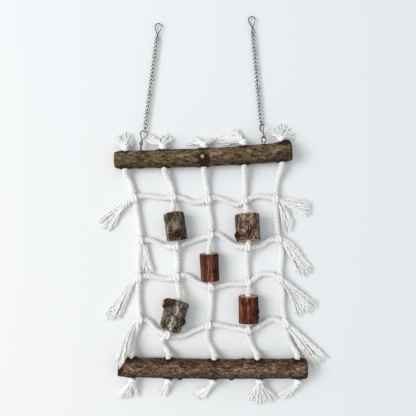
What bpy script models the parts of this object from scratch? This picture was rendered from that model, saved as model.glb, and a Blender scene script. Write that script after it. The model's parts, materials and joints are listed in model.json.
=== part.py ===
"""Reptile climbing net: two bark-covered bars, a threaded rope net, drilled branch beads and two chains."""
import math

import bmesh
import bpy
from mathutils import Matrix, Vector

# All sizes are in metres; layout tables are in millimetres and are scaled by MM
MM = 0.001
FIT = 0.0003

# Main sizes, and what they measure in the layout tables: length of the bottom bar, distance between the bars
BAR_LENGTH = 0.250
BAR_DISTANCE = 0.280
ACROSS = BAR_LENGTH / 250.0
DOWN = BAR_DISTANCE / 280.0

# Twisted cotton rope
ROPE_RADIUS = 0.0035
EYE_RADIUS = 0.0060
EYE_HALF_LENGTH = 0.0070
KNOT_RADIUS = 0.0056
KNOT_HALF_LENGTH = 0.0068
END_KNOT_RADIUS = 0.0044
LOCK_RADIUS = 0.0034
LOCK_TIP_RADIUS = 0.0022
ROPE_STEP = 0.0120
CUT_LEAD = 0.0020
REST_HEIGHT = 0.0009
HOLE_CLEARANCE = 0.0004
BEAD_DROP = 0.0025
ROPE_SAG = 0.45
HOLE_LEAD = 0.0050

# Steel wire hardware
RING_RADIUS = 0.0040
RING_WIRE_RADIUS = 0.0009
RING_STEM = 0.0015
SHANK_RADIUS = 0.0013
SHANK_DEPTH = 0.0120
HOOK_LENGTH = 0.0230
HOOK_WIRE_RADIUS = 0.00075
HOOK_EYE_RADIUS = 0.0024
HOOK_BOW_RADIUS = 0.00455
HOOK_GATE_START = 0.0030
HOOK_NOSE_ANGLE = math.radians(-15.0)
LINK_LENGTH = 0.00731
LINK_WIDTH = 0.0053
LINK_WIRE_RADIUS = 0.00065
LINK_BITE = 0.00045
LINKS_PER_STRETCH = 5
STRETCHES = 5

# Bars: x, y and radius along the branch; the axis lies one radius above the ground
TOP_BAR = [
    (-128.3, 66.8, 10.4),
    (-95.0, 67.8, 10.7),
    (-63.3, 68.8, 11.0),
    (-11.3, 70.5, 11.4),
    (42.0, 73.3, 11.9),
    (80.0, 76.3, 12.3),
    (105.7, 78.5, 12.5),
]
BOTTOM_BAR = [
    (-124.0, -207.3, 11.9),
    (-95.0, -207.9, 12.3),
    (-55.3, -208.8, 12.6),
    (3.3, -210.1, 12.4),
    (60.7, -209.5, 12.5),
    (95.0, -209.5, 12.5),
    (126.0, -209.5, 12.5),
]

# Beads: middle of the top face, middle of the bottom face and radius
BEADS = {
    "bead_1": ((-50.4, -4.1), (-45.3, -39.0), 13.2),
    "bead_2": ((46.5, -5.3), (48.7, -40.0), 15.8),
    "bead_3": ((-3.5, -57.2), (-1.8, -92.8), 12.2),
    "bead_4": ((-44.0, -120.1), (-54.8, -156.3), 14.0),
    "bead_5": ((48.7, -113.3), (49.3, -149.6), 13.0),
}

# Crossings of the four cross ropes (rows) with the five upright ropes (columns)
CROSSINGS = [
    [(-102.7, 16.7), (-50.8, 16.9), (-4.7, 14.7), (44.0, 11.3), (85.3, 15.3)],
    [(-94.7, -40.7), (-46.6, -47.2), (-1.3, -32.7), (47.7, -47.8), (89.3, -38.0)],
    [(-96.9, -90.0), (-46.3, -90.0), (-0.7, -101.0), (48.7, -97.3), (91.3, -91.3)],
    [(-95.6, -146.0), (-58.3, -164.5), (-4.0, -153.3), (48.3, -158.5), (99.3, -152.7)],
]
CROSSING_UNDER_BEAD = {
    (1, 1): "bead_1",
    (1, 3): "bead_2",
    (2, 2): "bead_3",
    (3, 1): "bead_4",
    (3, 3): "bead_5",
}

# Upright ropes from the top bar down: free points, crossed rows and beads in their order along the rope
UPRIGHTS = [
    [(-109.3, 39.3), "row_1", (-100.0, 1.0), (-96.7, -19.3), "row_2", (-97.1, -66.0), "row_3",
     (-98.1, -106.0), (-97.6, -122.0), "row_4", (-101.5, -164.0), (-105.0, -179.0)],
    [(-53.3, 32.0), "row_1", "bead_1", "row_2", (-45.1, -68.0), "row_3", "bead_4", "row_4",
     (-66.1, -175.0), (-61.5, -184.0)],
    [(-6.0, 30.0), "row_1", (-2.7, -2.0), (-0.4, -16.0), "row_2", "bead_3", "row_3",
     (0.0, -118.0), (-1.3, -134.0), "row_4", (-5.7, -170.0), (-0.4, -184.0)],
    [(45.1, 29.0), "row_1", "bead_2", "row_2", (47.1, -71.3), "row_3", "bead_5", "row_4",
     (52.0, -174.0), (56.4, -186.0)],
    [(88.8, 42.0), (86.7, 31.3), "row_1", (86.3, -3.0), (87.3, -20.0), "row_2", (94.0, -56.0),
     (92.9, -74.0), "row_3", (95.0, -108.0), (95.5, -130.0), "row_4", (102.0, -168.0), (108.1, -182.0)],
]

# Side twigs of the bars: x, direction, how far they stand out and radius
TOP_TWIGS = [(-12.0, (0.0, 0.1, 1.0), 2.2, 3.6), (101.0, (0.1, 1.0, 0.2), 2.6, 2.4)]
BOTTOM_TWIGS = [
    (-42.0, (0.0, -0.8, 0.6), 1.2, 2.2),
    (26.0, (0.0, -0.8, 0.5), 1.2, 2.0),
    (41.0, (0.0, 0.9, 0.5), 1.2, 2.2),
]

# Side twigs of the beads: share of the length, direction, how far they stand out and radius
BEAD_TWIGS = {
    "bead_1": [(0.68, (0.1, 0.0, 1.0), 2.2, 2.6)],
    "bead_2": [(0.66, (-0.8, 0.0, 0.6), 2.2, 3.0)],
    "bead_3": [(0.62, (0.6, 0.0, 0.8), 2.2, 2.4)],
    "bead_4": [(0.28, (-0.8, 0.2, 0.6), 2.2, 3.2), (0.66, (0.7, 0.0, 0.7), 2.2, 2.8)],
    "bead_5": [],
}
BEAD_PROFILE = (0.94, 1.0, 0.98, 1.0, 0.93)

# Slanted cut at the left end of the bottom bar: direction it faces and share of the radius left
SLANT_FACING = (-1.0, 0.45, 0.75)
SLANT_SHARE = 0.85

# Where each upright rope enters and leaves the bars: x on the net side and x on the outer side
TOP_HOLES = [(-114.9, -115.1), (-63.1, -65.0), (-10.5, -10.7), (42.7, 41.8), (92.9, 92.2)]
BOTTOM_HOLES = [(-105.6, -105.6), (-57.0, -57.3), (3.5, 2.0), (60.6, 63.0), (113.6, 114.0)]

# The free stretch of each upright rope in which the net folds: y where it starts and where it ends
FOLD_STRETCHES = [(-49.0, -66.0), (-54.6, -66.0), (-40.0, -56.2), (-55.0, -66.0), (-46.5, -66.0)]
FOLD_LINE = (-58.5, 10.0)

# Cross ropes from left to right: free points and crossed columns
CROSS_ROPES = [
    ["column_1", (-91.5, 19.9), (-82.0, 19.3), (-65.0, 17.0), "column_2", (-39.0, 16.7), (-26.0, 11.3),
     (-15.0, 11.5), "column_3", (7.0, 17.5), (20.0, 12.7), (33.0, 8.0), "column_4", (54.0, 17.5),
     (63.3, 19.3), (73.5, 18.3), "column_5"],
    ["column_1", (-82.0, -39.3), (-70.0, -44.7), (-61.0, -47.9), "column_2", (-38.0, -44.7), (-26.0, -40.7),
     (-12.5, -36.4), "column_3", (9.0, -32.0), (20.0, -39.3), (33.0, -47.6), "column_4", (59.0, -47.9),
     (67.0, -46.8), (76.1, -40.0), "column_5"],
    ["column_1", (-85.0, -87.5), (-75.3, -89.3), (-60.0, -92.0), "column_2", (-35.5, -86.3), (-28.0, -89.5),
     (-17.0, -97.0), "column_3", (13.0, -100.8), (25.0, -98.0), (38.0, -98.5), "column_4", (58.0, -91.0),
     (66.5, -85.2), (78.7, -85.2), "column_5"],
    ["column_1", (-85.5, -147.0), (-78.0, -154.6), (-72.0, -161.0), "column_2", (-47.0, -168.0),
     (-36.0, -167.0), (-26.0, -162.0), (-15.0, -157.5), "column_3", (8.0, -153.0), (29.3, -157.5), "column_4",
     (58.5, -157.2), (71.3, -150.0), (83.0, -145.3), "column_5"],
]

# Frayed ends of the cross ropes: direction out of the crossing and tips of the locks
LEFT_ENDS = [
    ((-0.83, -0.56), [(-152.9, -12.0), (-144.5, -20.0), (-133.0, -28.5)]),
    ((0.65, -0.76), [(-90.2, -80.5), (-83.5, -82.0), (-76.0, -80.5)]),
    ((-0.85, -0.53), [(-142.7, -143.0), (-134.5, -147.0), (-125.5, -146.7)]),
    ((-0.95, -0.31), [(-128.5, -187.5), (-122.0, -190.0), (-115.6, -189.5)]),
]
RIGHT_ENDS = [
    ((0.95, -0.30), [(133.6, 9.0), (131.0, -4.0), (112.0, -19.0), (98.0, -28.0)]),
    ((0.97, -0.20), [(135.3, -76.0), (131.0, -84.0), (124.5, -88.0)]),
    ((0.88, -0.47), [(141.3, -121.3), (131.0, -134.0), (113.0, -141.5)]),
    ((0.88, -0.47), [(152.7, -191.3), (145.0, -201.5), (135.0, -208.5)]),
]

# Frayed ends of the upright ropes: tips of the locks
TOP_TIPS = [
    [(-131.3, 95.0), (-123.0, 103.0), (-115.0, 104.4), (-106.5, 99.5)],
    [(-84.0, 93.5), (-80.0, 100.0), (-71.5, 98.5), (-58.0, 102.0), (-51.5, 95.5)],
    [(-35.3, 88.0), (-29.0, 95.0), (-22.0, 98.7), (-1.0, 98.0), (6.0, 94.0)],
    [(14.0, 97.0), (22.0, 103.0), (30.0, 110.0), (37.0, 106.0)],
    [(77.0, 108.0), (82.0, 114.7), (91.0, 117.3), (101.0, 115.3), (109.5, 106.0)],
]
BOTTOM_TIPS = [
    [(-125.7, -243.0), (-119.0, -249.5), (-110.0, -252.0), (-98.0, -249.5)],
    [(-71.0, -244.0), (-66.0, -249.0), (-60.0, -246.0), (-53.0, -242.5)],
    [(-22.0, -240.0), (-20.0, -249.0), (-12.0, -254.0), (-4.5, -248.0)],
    [(45.2, -247.0), (54.0, -257.0), (66.0, -260.2), (79.5, -255.0), (86.5, -249.0)],
    [(92.0, -241.0), (95.0, -249.0), (102.0, -252.0), (112.0, -249.0)],
]

# Hanging chains: screw eye x, turn of ring and hook about the upright, far point of the hook and of the chain
CHAINS = {
    "left": (-93.7, 90.0, 0.0, (-88.7, 109.0), (-72.9, 232.0)),
    "right": (69.2, 35.0, -55.0, (66.4, 117.0), (55.3, 241.0)),
}


def clear_scene():
    """Remove every object of the open scene."""
    for old in list(bpy.data.objects):
        bpy.data.objects.remove(old, do_unlink=True)


def new_collection(name):
    """A collection linked to the scene."""
    collection = bpy.data.collections.new(name)
    bpy.context.scene.collection.children.link(collection)
    return collection


def new_material(name, colour, roughness, metallic=0.0):
    """A plain Principled material."""
    material = bpy.data.materials.new(name)
    material.use_nodes = True
    shader = material.node_tree.nodes["Principled BSDF"]
    shader.inputs["Base Color"].default_value = (*colour, 1.0)
    shader.inputs["Roughness"].default_value = roughness
    shader.inputs["Metallic"].default_value = metallic
    return material


clear_scene()
PARTS = new_collection("reptile_climbing_net")
CUTTERS = new_collection("cutters")
COTTON = new_material("cotton", (0.85, 0.86, 0.82), 0.9)
STEEL = new_material("steel", (0.55, 0.55, 0.56), 0.3, 1.0)


def clean_mesh(mesh):
    """Weld the caps of a swept tube, turn its faces outward and smooth it."""
    work = bmesh.new()
    work.from_mesh(mesh)
    bmesh.ops.remove_doubles(work, verts=work.verts, dist=1e-7)
    bmesh.ops.recalc_face_normals(work, faces=work.faces)
    work.to_mesh(mesh)
    work.free()
    mesh.shade_smooth()
    mesh.set_sharp_from_angle(angle=math.radians(40.0))


def mesh_object(name, mesh, collection):
    """An object with this mesh in this collection."""
    made = bpy.data.objects.new(name, mesh)
    collection.objects.link(made)
    if collection is CUTTERS:
        made.hide_render = True
        made.display_type = "WIRE"
    return made


def tube(name, points, radii, resolution, collection, cyclic=False):
    """A round tube swept along a polyline, with its own radius at each point, as a closed mesh."""
    curve = bpy.data.curves.new(name, "CURVE")
    curve.dimensions = "3D"
    curve.bevel_depth = max(radii)
    curve.bevel_resolution = resolution
    curve.use_fill_caps = not cyclic
    spline = curve.splines.new("POLY")
    spline.points.add(len(points) - 1)
    spline.use_cyclic_u = cyclic
    for knot, point, radius in zip(spline.points, points, radii):
        knot.co = (*point, 1.0)
        knot.radius = radius / curve.bevel_depth
    sweep = bpy.data.objects.new(name + "_sweep", curve)
    CUTTERS.objects.link(sweep)
    bpy.context.view_layer.update()
    evaluated = sweep.evaluated_get(bpy.context.evaluated_depsgraph_get())
    mesh = bpy.data.meshes.new_from_object(evaluated)
    mesh.name = name
    made = mesh_object(name, mesh, collection)
    made.matrix_world = sweep.matrix_world
    bpy.data.objects.remove(sweep, do_unlink=True)
    clean_mesh(mesh)
    return made


def round_peg(name, base, tip, base_radius, tip_radius, sides, collection):
    """A straight round or tapered peg from base to tip."""
    mesh = bpy.data.meshes.new(name)
    axis = tip - base
    turn = axis.to_track_quat("Z", "Y").to_matrix().to_4x4()
    work = bmesh.new()
    bmesh.ops.create_cone(
        work,
        cap_ends=True,
        segments=sides,
        radius1=base_radius,
        radius2=tip_radius,
        depth=axis.length,
        matrix=Matrix.Translation((base + tip) / 2) @ turn,
    )
    work.to_mesh(mesh)
    work.free()
    clean_mesh(mesh)
    return mesh_object(name, mesh, collection)


def ball(name, centre, radius, collection):
    """A round knot."""
    mesh = bpy.data.meshes.new(name)
    work = bmesh.new()
    bmesh.ops.create_uvsphere(
        work, u_segments=8, v_segments=6, radius=radius, matrix=Matrix.Translation(centre)
    )
    work.to_mesh(mesh)
    work.free()
    clean_mesh(mesh)
    return mesh_object(name, mesh, collection)


def drop_enclosed_gaps(mesh):
    """Keep the outer surface of a joined mesh and drop the small gaps that its pieces enclose."""
    work = bmesh.new()
    work.from_mesh(mesh)
    left = set(work.verts)
    surfaces = []
    while left:
        surface = set()
        front = [left.pop()]
        while front:
            vert = front.pop()
            surface.add(vert)
            linked = {edge.other_vert(vert) for edge in vert.link_edges} & left
            left -= linked
            front.extend(linked)
        surfaces.append(surface)
    surfaces.sort(key=len)
    for surface in surfaces[:-1]:
        bmesh.ops.delete(work, geom=list(surface), context="VERTS")
    work.to_mesh(mesh)
    work.free()


def combine(body, others, operation):
    """Join the others to the body, or cut them out of it, one after the other."""
    for other in others:
        step = body.modifiers.new("combine", "BOOLEAN")
        step.operation = operation
        step.solver = "EXACT"
        step.object = other
        bpy.context.view_layer.update()
        evaluated = body.evaluated_get(bpy.context.evaluated_depsgraph_get())
        mesh = bpy.data.meshes.new_from_object(evaluated)
        mesh.name = body.name
        body.modifiers.clear()
        body.data = mesh
        bpy.data.objects.remove(other, do_unlink=True)
    if operation == "UNION":
        drop_enclosed_gaps(body.data)
    return body


def smooth_curve(points):
    """Closely spaced points on a centripetal Catmull-Rom curve through the given points."""
    ends = [points[0] * 2 - points[1]] + points + [points[-1] * 2 - points[-2]]
    dense = []
    for p0, p1, p2, p3 in zip(ends, ends[1:], ends[2:], ends[3:]):
        t1 = math.sqrt((p1 - p0).length)
        t2 = t1 + math.sqrt((p2 - p1).length)
        t3 = t2 + math.sqrt((p3 - p2).length)
        count = max(4, round((p2 - p1).length / MM))
        for i in range(count):
            t = t1 + (t2 - t1) * i / count
            a1 = p0 * ((t1 - t) / t1) + p1 * (t / t1)
            a2 = p1 * ((t2 - t) / (t2 - t1)) + p2 * ((t - t1) / (t2 - t1))
            a3 = p2 * ((t3 - t) / (t3 - t2)) + p3 * ((t - t2) / (t3 - t2))
            b1 = a1 * ((t2 - t) / t2) + a2 * (t / t2)
            b2 = a2 * ((t3 - t) / (t3 - t1)) + a3 * ((t - t1) / (t3 - t1))
            dense.append(b1 * ((t2 - t) / (t2 - t1)) + b2 * ((t - t1) / (t2 - t1)))
    dense.append(points[-1].copy())
    return dense


def lengths_along(dense):
    """Running length at each point of a polyline."""
    run = [0.0]
    for a, b in zip(dense, dense[1:]):
        run.append(run[-1] + (b - a).length)
    return run


def point_at(dense, run, length):
    """The point at this length along a polyline."""
    length = min(max(length, 0.0), run[-1])
    i = 0
    while i < len(run) - 2 and run[i + 1] < length:
        i += 1
    share = (length - run[i]) / (run[i + 1] - run[i])
    return dense[i].lerp(dense[i + 1], share)


def length_near(dense, run, point):
    """The length at which the polyline passes closest to a point."""
    gaps = [(p - point).length for p in dense]
    return run[gaps.index(min(gaps))]


def length_where(dense, run, test):
    """The length at which the polyline first passes the test."""
    for point, length in zip(dense, run):
        if test(point):
            return length
    return run[-1]


def stations(end, marks, shares, cuts=(), kinks=()):
    """Lengths for the rings of a rope: kinks, marks, both sides of cuts and a step apart elsewhere."""
    kept = [0.0, end] + list(kinks)
    for cut in cuts:
        kept += [cut - CUT_LEAD, cut + CUT_LEAD]
    for mark in marks:
        for share in shares:
            length = mark + share * EYE_HALF_LENGTH
            if 0.0 < length < end and min(abs(length - k) for k in kept) > CUT_LEAD / 2:
                kept.append(length)
    kept = [k for k in sorted(kept) if not any(abs(k - cut) < CUT_LEAD * 0.9 for cut in cuts)]
    filled = [kept[0]]
    for a, b in zip(kept, kept[1:]):
        count = max(1, math.ceil((b - a) / ROPE_STEP))
        for i in range(1, count + 1):
            filled.append(a + (b - a) * i / count)
    return filled


def swelling(distance, half_length, extra):
    """Added radius at a distance from the middle of an eye or knot."""
    if abs(distance) >= half_length:
        return 0.0
    return extra * math.cos(distance / half_length * math.pi / 2) ** 2


def flat(point, z):
    """A point of the layout tables at height z in metres."""
    return Vector((point[0] * ACROSS, point[1] * DOWN, z))


def bar_at(bar, x):
    """Axis point and radius of a bar at x, in metres."""
    for a, b in zip(bar, bar[1:]):
        if x <= b[0]:
            break
    share = (x - a[0]) / (b[0] - a[0])
    y = a[1] + (b[1] - a[1]) * share
    radius = (a[2] + (b[2] - a[2]) * share) * MM
    return flat((x, y), radius), radius


def bead_axis(name):
    """Top and bottom face middles of a bead lying on the ground."""
    top, bottom, radius = BEADS[name]
    z = radius * MM + FIT
    return flat(top, z), flat(bottom, z), radius * MM


def number_in(name):
    """Table index of a row or column that is named with its number."""
    return int(name.split("_")[1]) - 1


def crossing(row, column):
    """Where a cross rope goes through an upright rope."""
    z = EYE_RADIUS + FIT
    if (row, column) in CROSSING_UNDER_BEAD:
        z = max(z, bead_axis(CROSSING_UNDER_BEAD[row, column])[0].z - BEAD_DROP)
    return flat(CROSSINGS[row][column], z)


def settled(point):
    """A free rope point: on the ground, or higher where a bead lifts the ropes near it."""
    z = ROPE_RADIUS + REST_HEIGHT
    for row, column in CROSSING_UNDER_BEAD:
        over = crossing(row, column)
        z = max(z, over.z - ROPE_SAG * (flat(point, over.z) - over).length)
    return flat(point, z)


def hole_line(bar, xs, outward):
    """Axis point, direction out of the net and bar radius of one rope hole."""
    centre, radius = bar_at(bar, (xs[0] + xs[1]) / 2)
    direction = Vector(((xs[1] - xs[0]) * ACROSS, outward * 2 * radius, 0.0)).normalized()
    return centre, direction, radius


def knot_centre(bar, xs, outward):
    """Middle of the knot that stops an upright rope outside a bar."""
    centre, direction, radius = hole_line(bar, xs, outward)
    return centre + direction * (radius + FIT + KNOT_HALF_LENGTH)


def upright_points(column):
    """Route of an upright rope from the knot above the top bar to the knot below the bottom bar."""
    centre, direction, radius = hole_line(TOP_BAR, TOP_HOLES[column], 1)
    knot = knot_centre(TOP_BAR, TOP_HOLES[column], 1)
    points = [knot + direction * KNOT_HALF_LENGTH, knot]
    points += [centre + direction * radius, centre, centre - direction * radius]
    points.append(centre - direction * (radius + HOLE_LEAD))
    for item in UPRIGHTS[column]:
        if item in BEADS:
            top, bottom, _ = bead_axis(item)
            along = (bottom - top).normalized()
            points += [top - along * HOLE_LEAD, top, (top + bottom) / 2, bottom]
            points.append(bottom + along * HOLE_LEAD / 2)
        elif isinstance(item, str):
            points.append(crossing(number_in(item), column))
        else:
            points.append(settled(item))
    centre, direction, radius = hole_line(BOTTOM_BAR, BOTTOM_HOLES[column], -1)
    points.append(centre - direction * (radius + HOLE_LEAD))
    points += [centre - direction * radius, centre, centre + direction * radius]
    knot = knot_centre(BOTTOM_BAR, BOTTOM_HOLES[column], -1)
    points += [knot, knot + direction * KNOT_HALF_LENGTH]
    return points


def straight_run_ends(column):
    """Points where an upright rope starts and ends its straight runs through the bars and beads."""
    found = []
    for bar, holes, outward in ((TOP_BAR, TOP_HOLES, 1), (BOTTOM_BAR, BOTTOM_HOLES, -1)):
        centre, direction, radius = hole_line(bar, holes[column], outward)
        found += [centre - direction * (radius + HOLE_LEAD), centre + direction * radius]
    for item in UPRIGHTS[column]:
        if item in BEADS:
            top, bottom, _ = bead_axis(item)
            along = (bottom - top).normalized()
            found += [top - along * HOLE_LEAD, bottom + along * HOLE_LEAD / 2]
    return found


def end_point(row, column, direction):
    """Where a cross rope ends, just outside the outer upright rope."""
    out = Vector((direction[0], direction[1], 0.0)).normalized()
    return crossing(row, column) + out * (EYE_RADIUS + FIT)


def cross_points(row):
    """Route of a cross rope from its left end to its right end."""
    left = LEFT_ENDS[row][0]
    if left[0] > 0:
        left = (-1.0, -0.15)
    points = [end_point(row, 0, left)]
    for item in CROSS_ROPES[row]:
        if isinstance(item, str):
            points.append(crossing(row, number_in(item)))
        else:
            points.append(settled(item))
    points.append(end_point(row, len(UPRIGHTS) - 1, RIGHT_ENDS[row][0]))
    return points


def cross_rings(row):
    """Ring points of a cross rope, with one ring in the middle of each upright rope."""
    dense = smooth_curve(cross_points(row))
    run = lengths_along(dense)
    marks = []
    for column in range(len(UPRIGHTS)):
        marks.append(length_near(dense, run, crossing(row, column)))
    lengths = stations(run[-1], marks, (-1.0, 0.0, 1.0))
    return [point_at(dense, run, s) for s in lengths]


def cross_passage(row):
    """Cutter for the passage of a cross rope, a little longer than the rope at both ends."""
    rings = cross_rings(row)
    rings.insert(0, rings[0] + (rings[0] - rings[1]).normalized() * ROPE_RADIUS)
    rings.append(rings[-1] + (rings[-1] - rings[-2]).normalized() * ROPE_RADIUS)
    return tube(f"passage_{row}", rings, [ROPE_RADIUS + FIT] * len(rings), 2, CUTTERS)


def locks(name, root, tips):
    """Tapered frayed locks that spread from a knot to their tips and lie down on the ground."""
    made = []
    for i, tip in enumerate(tips):
        end = flat(tip, LOCK_TIP_RADIUS + FIT)
        low = LOCK_RADIUS + FIT
        half = root.lerp(end, 0.5)
        points = [root, Vector((half.x, half.y, max(low, half.z * 0.7))), end]
        radii = [LOCK_RADIUS * 0.8, LOCK_RADIUS, LOCK_TIP_RADIUS]
        made.append(tube(f"{name}_lock_{i}", points, radii, 0, CUTTERS))
    return made


def rope_piece(name, rings, at, span, marks, cutters, tips=None):
    """One stretch of an upright rope with its eyes, its knot and its frayed end."""
    lengths = [span[0]] + [s for s in at if span[0] < s < span[1]] + [span[1]]
    points = [point_at(rings, at, s) for s in lengths]
    radii = []
    for s in lengths:
        added = [swelling(s - m[0], m[1], m[2] - ROPE_RADIUS) for m in marks]
        radii.append(ROPE_RADIUS + max(added + [0.0]))
    made = tube(name, points, radii, 2, PARTS)
    combine(made, cutters, "DIFFERENCE")
    if tips:
        combine(made, locks(name, tips[0], tips[1]), "UNION")
    return made


def upright_rope(column):
    """The three nodes of an upright rope: above the fold, in the fold and below it."""
    dense = smooth_curve(upright_points(column))
    run = lengths_along(dense)
    marks = [(at, KNOT_HALF_LENGTH, KNOT_RADIUS) for at in (KNOT_HALF_LENGTH, run[-1] - KNOT_HALF_LENGTH)]
    sides = {"upper": [], "lower": []}
    fold = FOLD_STRETCHES[column]
    start = length_where(dense, run, lambda p: p.y <= fold[0] * DOWN)
    end = length_where(dense, run, lambda p: p.y <= fold[1] * DOWN)
    for row in range(len(CROSSINGS)):
        at = crossing(row, column)
        marks.append((length_near(dense, run, at), EYE_HALF_LENGTH, EYE_RADIUS))
        side = "upper" if marks[-1][0] < start else "lower"
        sides[side].append(cross_passage(row))
    top = (knot_centre(TOP_BAR, TOP_HOLES[column], 1), TOP_TIPS[column])
    bottom = (knot_centre(BOTTOM_BAR, BOTTOM_HOLES[column], -1), BOTTOM_TIPS[column])
    name = f"upright_rope_{column + 1}"
    kinks = [length_near(dense, run, p) for p in straight_run_ends(column)]
    at = stations(run[-1], [m[0] for m in marks], (-1.0, -0.5, 0.0, 0.5, 1.0), (start, end), kinks)
    rings = [point_at(dense, run, s) for s in at]
    above = (0.0, start - FIT / 2)
    below = (end + FIT / 2, run[-1])
    between = (start + FIT / 2, end - FIT / 2)
    upper = rope_piece(name + "_upper", rings, at, above, marks, sides["upper"], top)
    free = rope_piece(name + "_fold", rings, at, between, marks, [])
    lower = rope_piece(name + "_lower", rings, at, below, marks, sides["lower"], bottom)
    return upper, free, lower


def cross_rope(row):
    """A cross rope and the knots with frayed ends outside the outer upright ropes."""
    points = cross_rings(row)
    made = [tube(f"cross_rope_{row + 1}", points, [ROPE_RADIUS] * len(points), 2, PARTS)]
    for side, column, ends in (("left", 0, LEFT_ENDS), ("right", len(UPRIGHTS) - 1, RIGHT_ENDS)):
        direction, tips = ends[row]
        out = Vector((direction[0], direction[1], 0.0)).normalized()
        root = crossing(row, column) + out * (EYE_RADIUS + 2 * FIT + END_KNOT_RADIUS)
        root.z = END_KNOT_RADIUS + FIT
        name = f"cross_rope_{row + 1}_{side}_end"
        knot = ball(name, root, END_KNOT_RADIUS, PARTS)
        made.append(combine(knot, locks(name, root, tips), "UNION"))
    return made


def branch(name, bar, collection):
    """A slightly crooked branch swept along its axis."""
    points = smooth_curve([flat((x, y), r * MM) for x, y, r in bar])
    run = lengths_along(points)
    count = len(bar) + 3
    rings = [point_at(points, run, run[-1] * i / count) for i in range(count + 1)]
    radii = [p.z for p in rings]
    return tube(name, rings, radii, 4, collection)


def stub(name, base, direction, reach, radius):
    """A cut side twig standing out of the bark."""
    axis = Vector(direction).normalized()
    return round_peg(name, base, base + axis * reach, radius * 1.3, radius, 8, CUTTERS)


def bar_twigs(bar, twigs):
    """Side twigs of a bar, from its axis outward."""
    made = []
    for x, direction, proud, radius in twigs:
        base, bar_radius = bar_at(bar, x)
        made.append(stub("twig", base, direction, bar_radius + proud * MM, radius * MM))
    return made


def rope_holes(bar, holes, outward):
    """Cutters for the rope holes of a bar."""
    made = []
    for i, xs in enumerate(holes):
        centre, direction, radius = hole_line(bar, xs, outward)
        reach = direction * (radius * 1.4)
        size = ROPE_RADIUS + HOLE_CLEARANCE
        made.append(round_peg(f"hole_{i}", centre - reach, centre + reach, size, size, 12, CUTTERS))
    return made


def top_bar():
    """The top bar with its rope holes, pilot holes and two cut twigs."""
    made = branch("top_bar", TOP_BAR, PARTS)
    combine(made, bar_twigs(TOP_BAR, TOP_TWIGS), "UNION")
    cutters = rope_holes(TOP_BAR, TOP_HOLES, 1)
    for x, *_ in CHAINS.values():
        centre, radius = bar_at(TOP_BAR, x)
        deep = centre + Vector((0.0, radius - SHANK_DEPTH - FIT, 0.0))
        high = centre + Vector((0.0, radius * 1.3, 0.0))
        size = SHANK_RADIUS + FIT
        cutters.append(round_peg("pilot", deep, high, size, size, 8, CUTTERS))
    return combine(made, cutters, "DIFFERENCE")


def bottom_bar():
    """The bottom bar with its rope holes, small twig scars and the slanted cut at its left end."""
    made = branch("bottom_bar", BOTTOM_BAR, PARTS)
    combine(made, bar_twigs(BOTTOM_BAR, BOTTOM_TWIGS), "UNION")
    end, radius = bar_at(BOTTOM_BAR, BOTTOM_BAR[0][0])
    slant = Vector(SLANT_FACING).normalized()
    near = end + slant * (radius * SLANT_SHARE)
    cut = round_peg("slanted_cut", near, near + slant * radius * 2, radius * 3, radius * 3, 8, CUTTERS)
    return combine(made, rope_holes(BOTTOM_BAR, BOTTOM_HOLES, -1) + [cut], "DIFFERENCE")


def bead(name):
    """A drilled length of branch with its bore along its axis and its twig scars."""
    top, bottom, radius = bead_axis(name)
    count = len(BEAD_PROFILE) - 1
    points = [top.lerp(bottom, i / count) for i in range(count + 1)]
    made = tube(name, points, [radius * s for s in BEAD_PROFILE], 4, PARTS)
    pegs = []
    for share, direction, proud, size in BEAD_TWIGS[name]:
        pegs.append(stub("twig", top.lerp(bottom, share), direction, radius + proud * MM, size * MM))
    combine(made, pegs, "UNION")
    beyond = (bottom - top).normalized() * ROPE_RADIUS
    size = ROPE_RADIUS + HOLE_CLEARANCE
    bore = round_peg("bore", top - beyond, bottom + beyond, size, size, 12, CUTTERS)
    return combine(made, [bore], "DIFFERENCE")


def ring_frame(x, turn):
    """Centre of a screw eye's ring and the axis through its hole."""
    centre, radius = bar_at(TOP_BAR, x)
    middle = centre + Vector((0.0, radius + RING_STEM + RING_RADIUS + RING_WIRE_RADIUS, 0.0))
    angle = math.radians(turn)
    return middle, Vector((math.sin(angle), 0.0, math.cos(angle)))


def screw_eye(name, x, turn):
    """A screw eye: a wire ring on a shank that stands in the pilot hole."""
    middle, axis = ring_frame(x, turn)
    rotation = axis.to_track_quat("Z", "Y").to_euler()
    bpy.ops.mesh.primitive_torus_add(
        major_radius=RING_RADIUS,
        minor_radius=RING_WIRE_RADIUS,
        major_segments=14,
        minor_segments=6,
        location=middle,
        rotation=rotation,
    )
    ring = bpy.context.active_object
    mesh = ring.data
    bpy.context.view_layer.update()
    mesh.transform(ring.matrix_world)
    bpy.data.objects.remove(ring, do_unlink=True)
    clean_mesh(mesh)
    made = mesh_object(name, mesh, PARTS)
    mesh.name = name
    surface, radius = bar_at(TOP_BAR, x)
    foot = surface + Vector((0.0, radius - SHANK_DEPTH, 0.0))
    head = middle - Vector((0.0, RING_RADIUS, 0.0))
    return combine(made, [round_peg("shank", foot, head, SHANK_RADIUS, SHANK_RADIUS, 8, CUTTERS)], "UNION")


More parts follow.
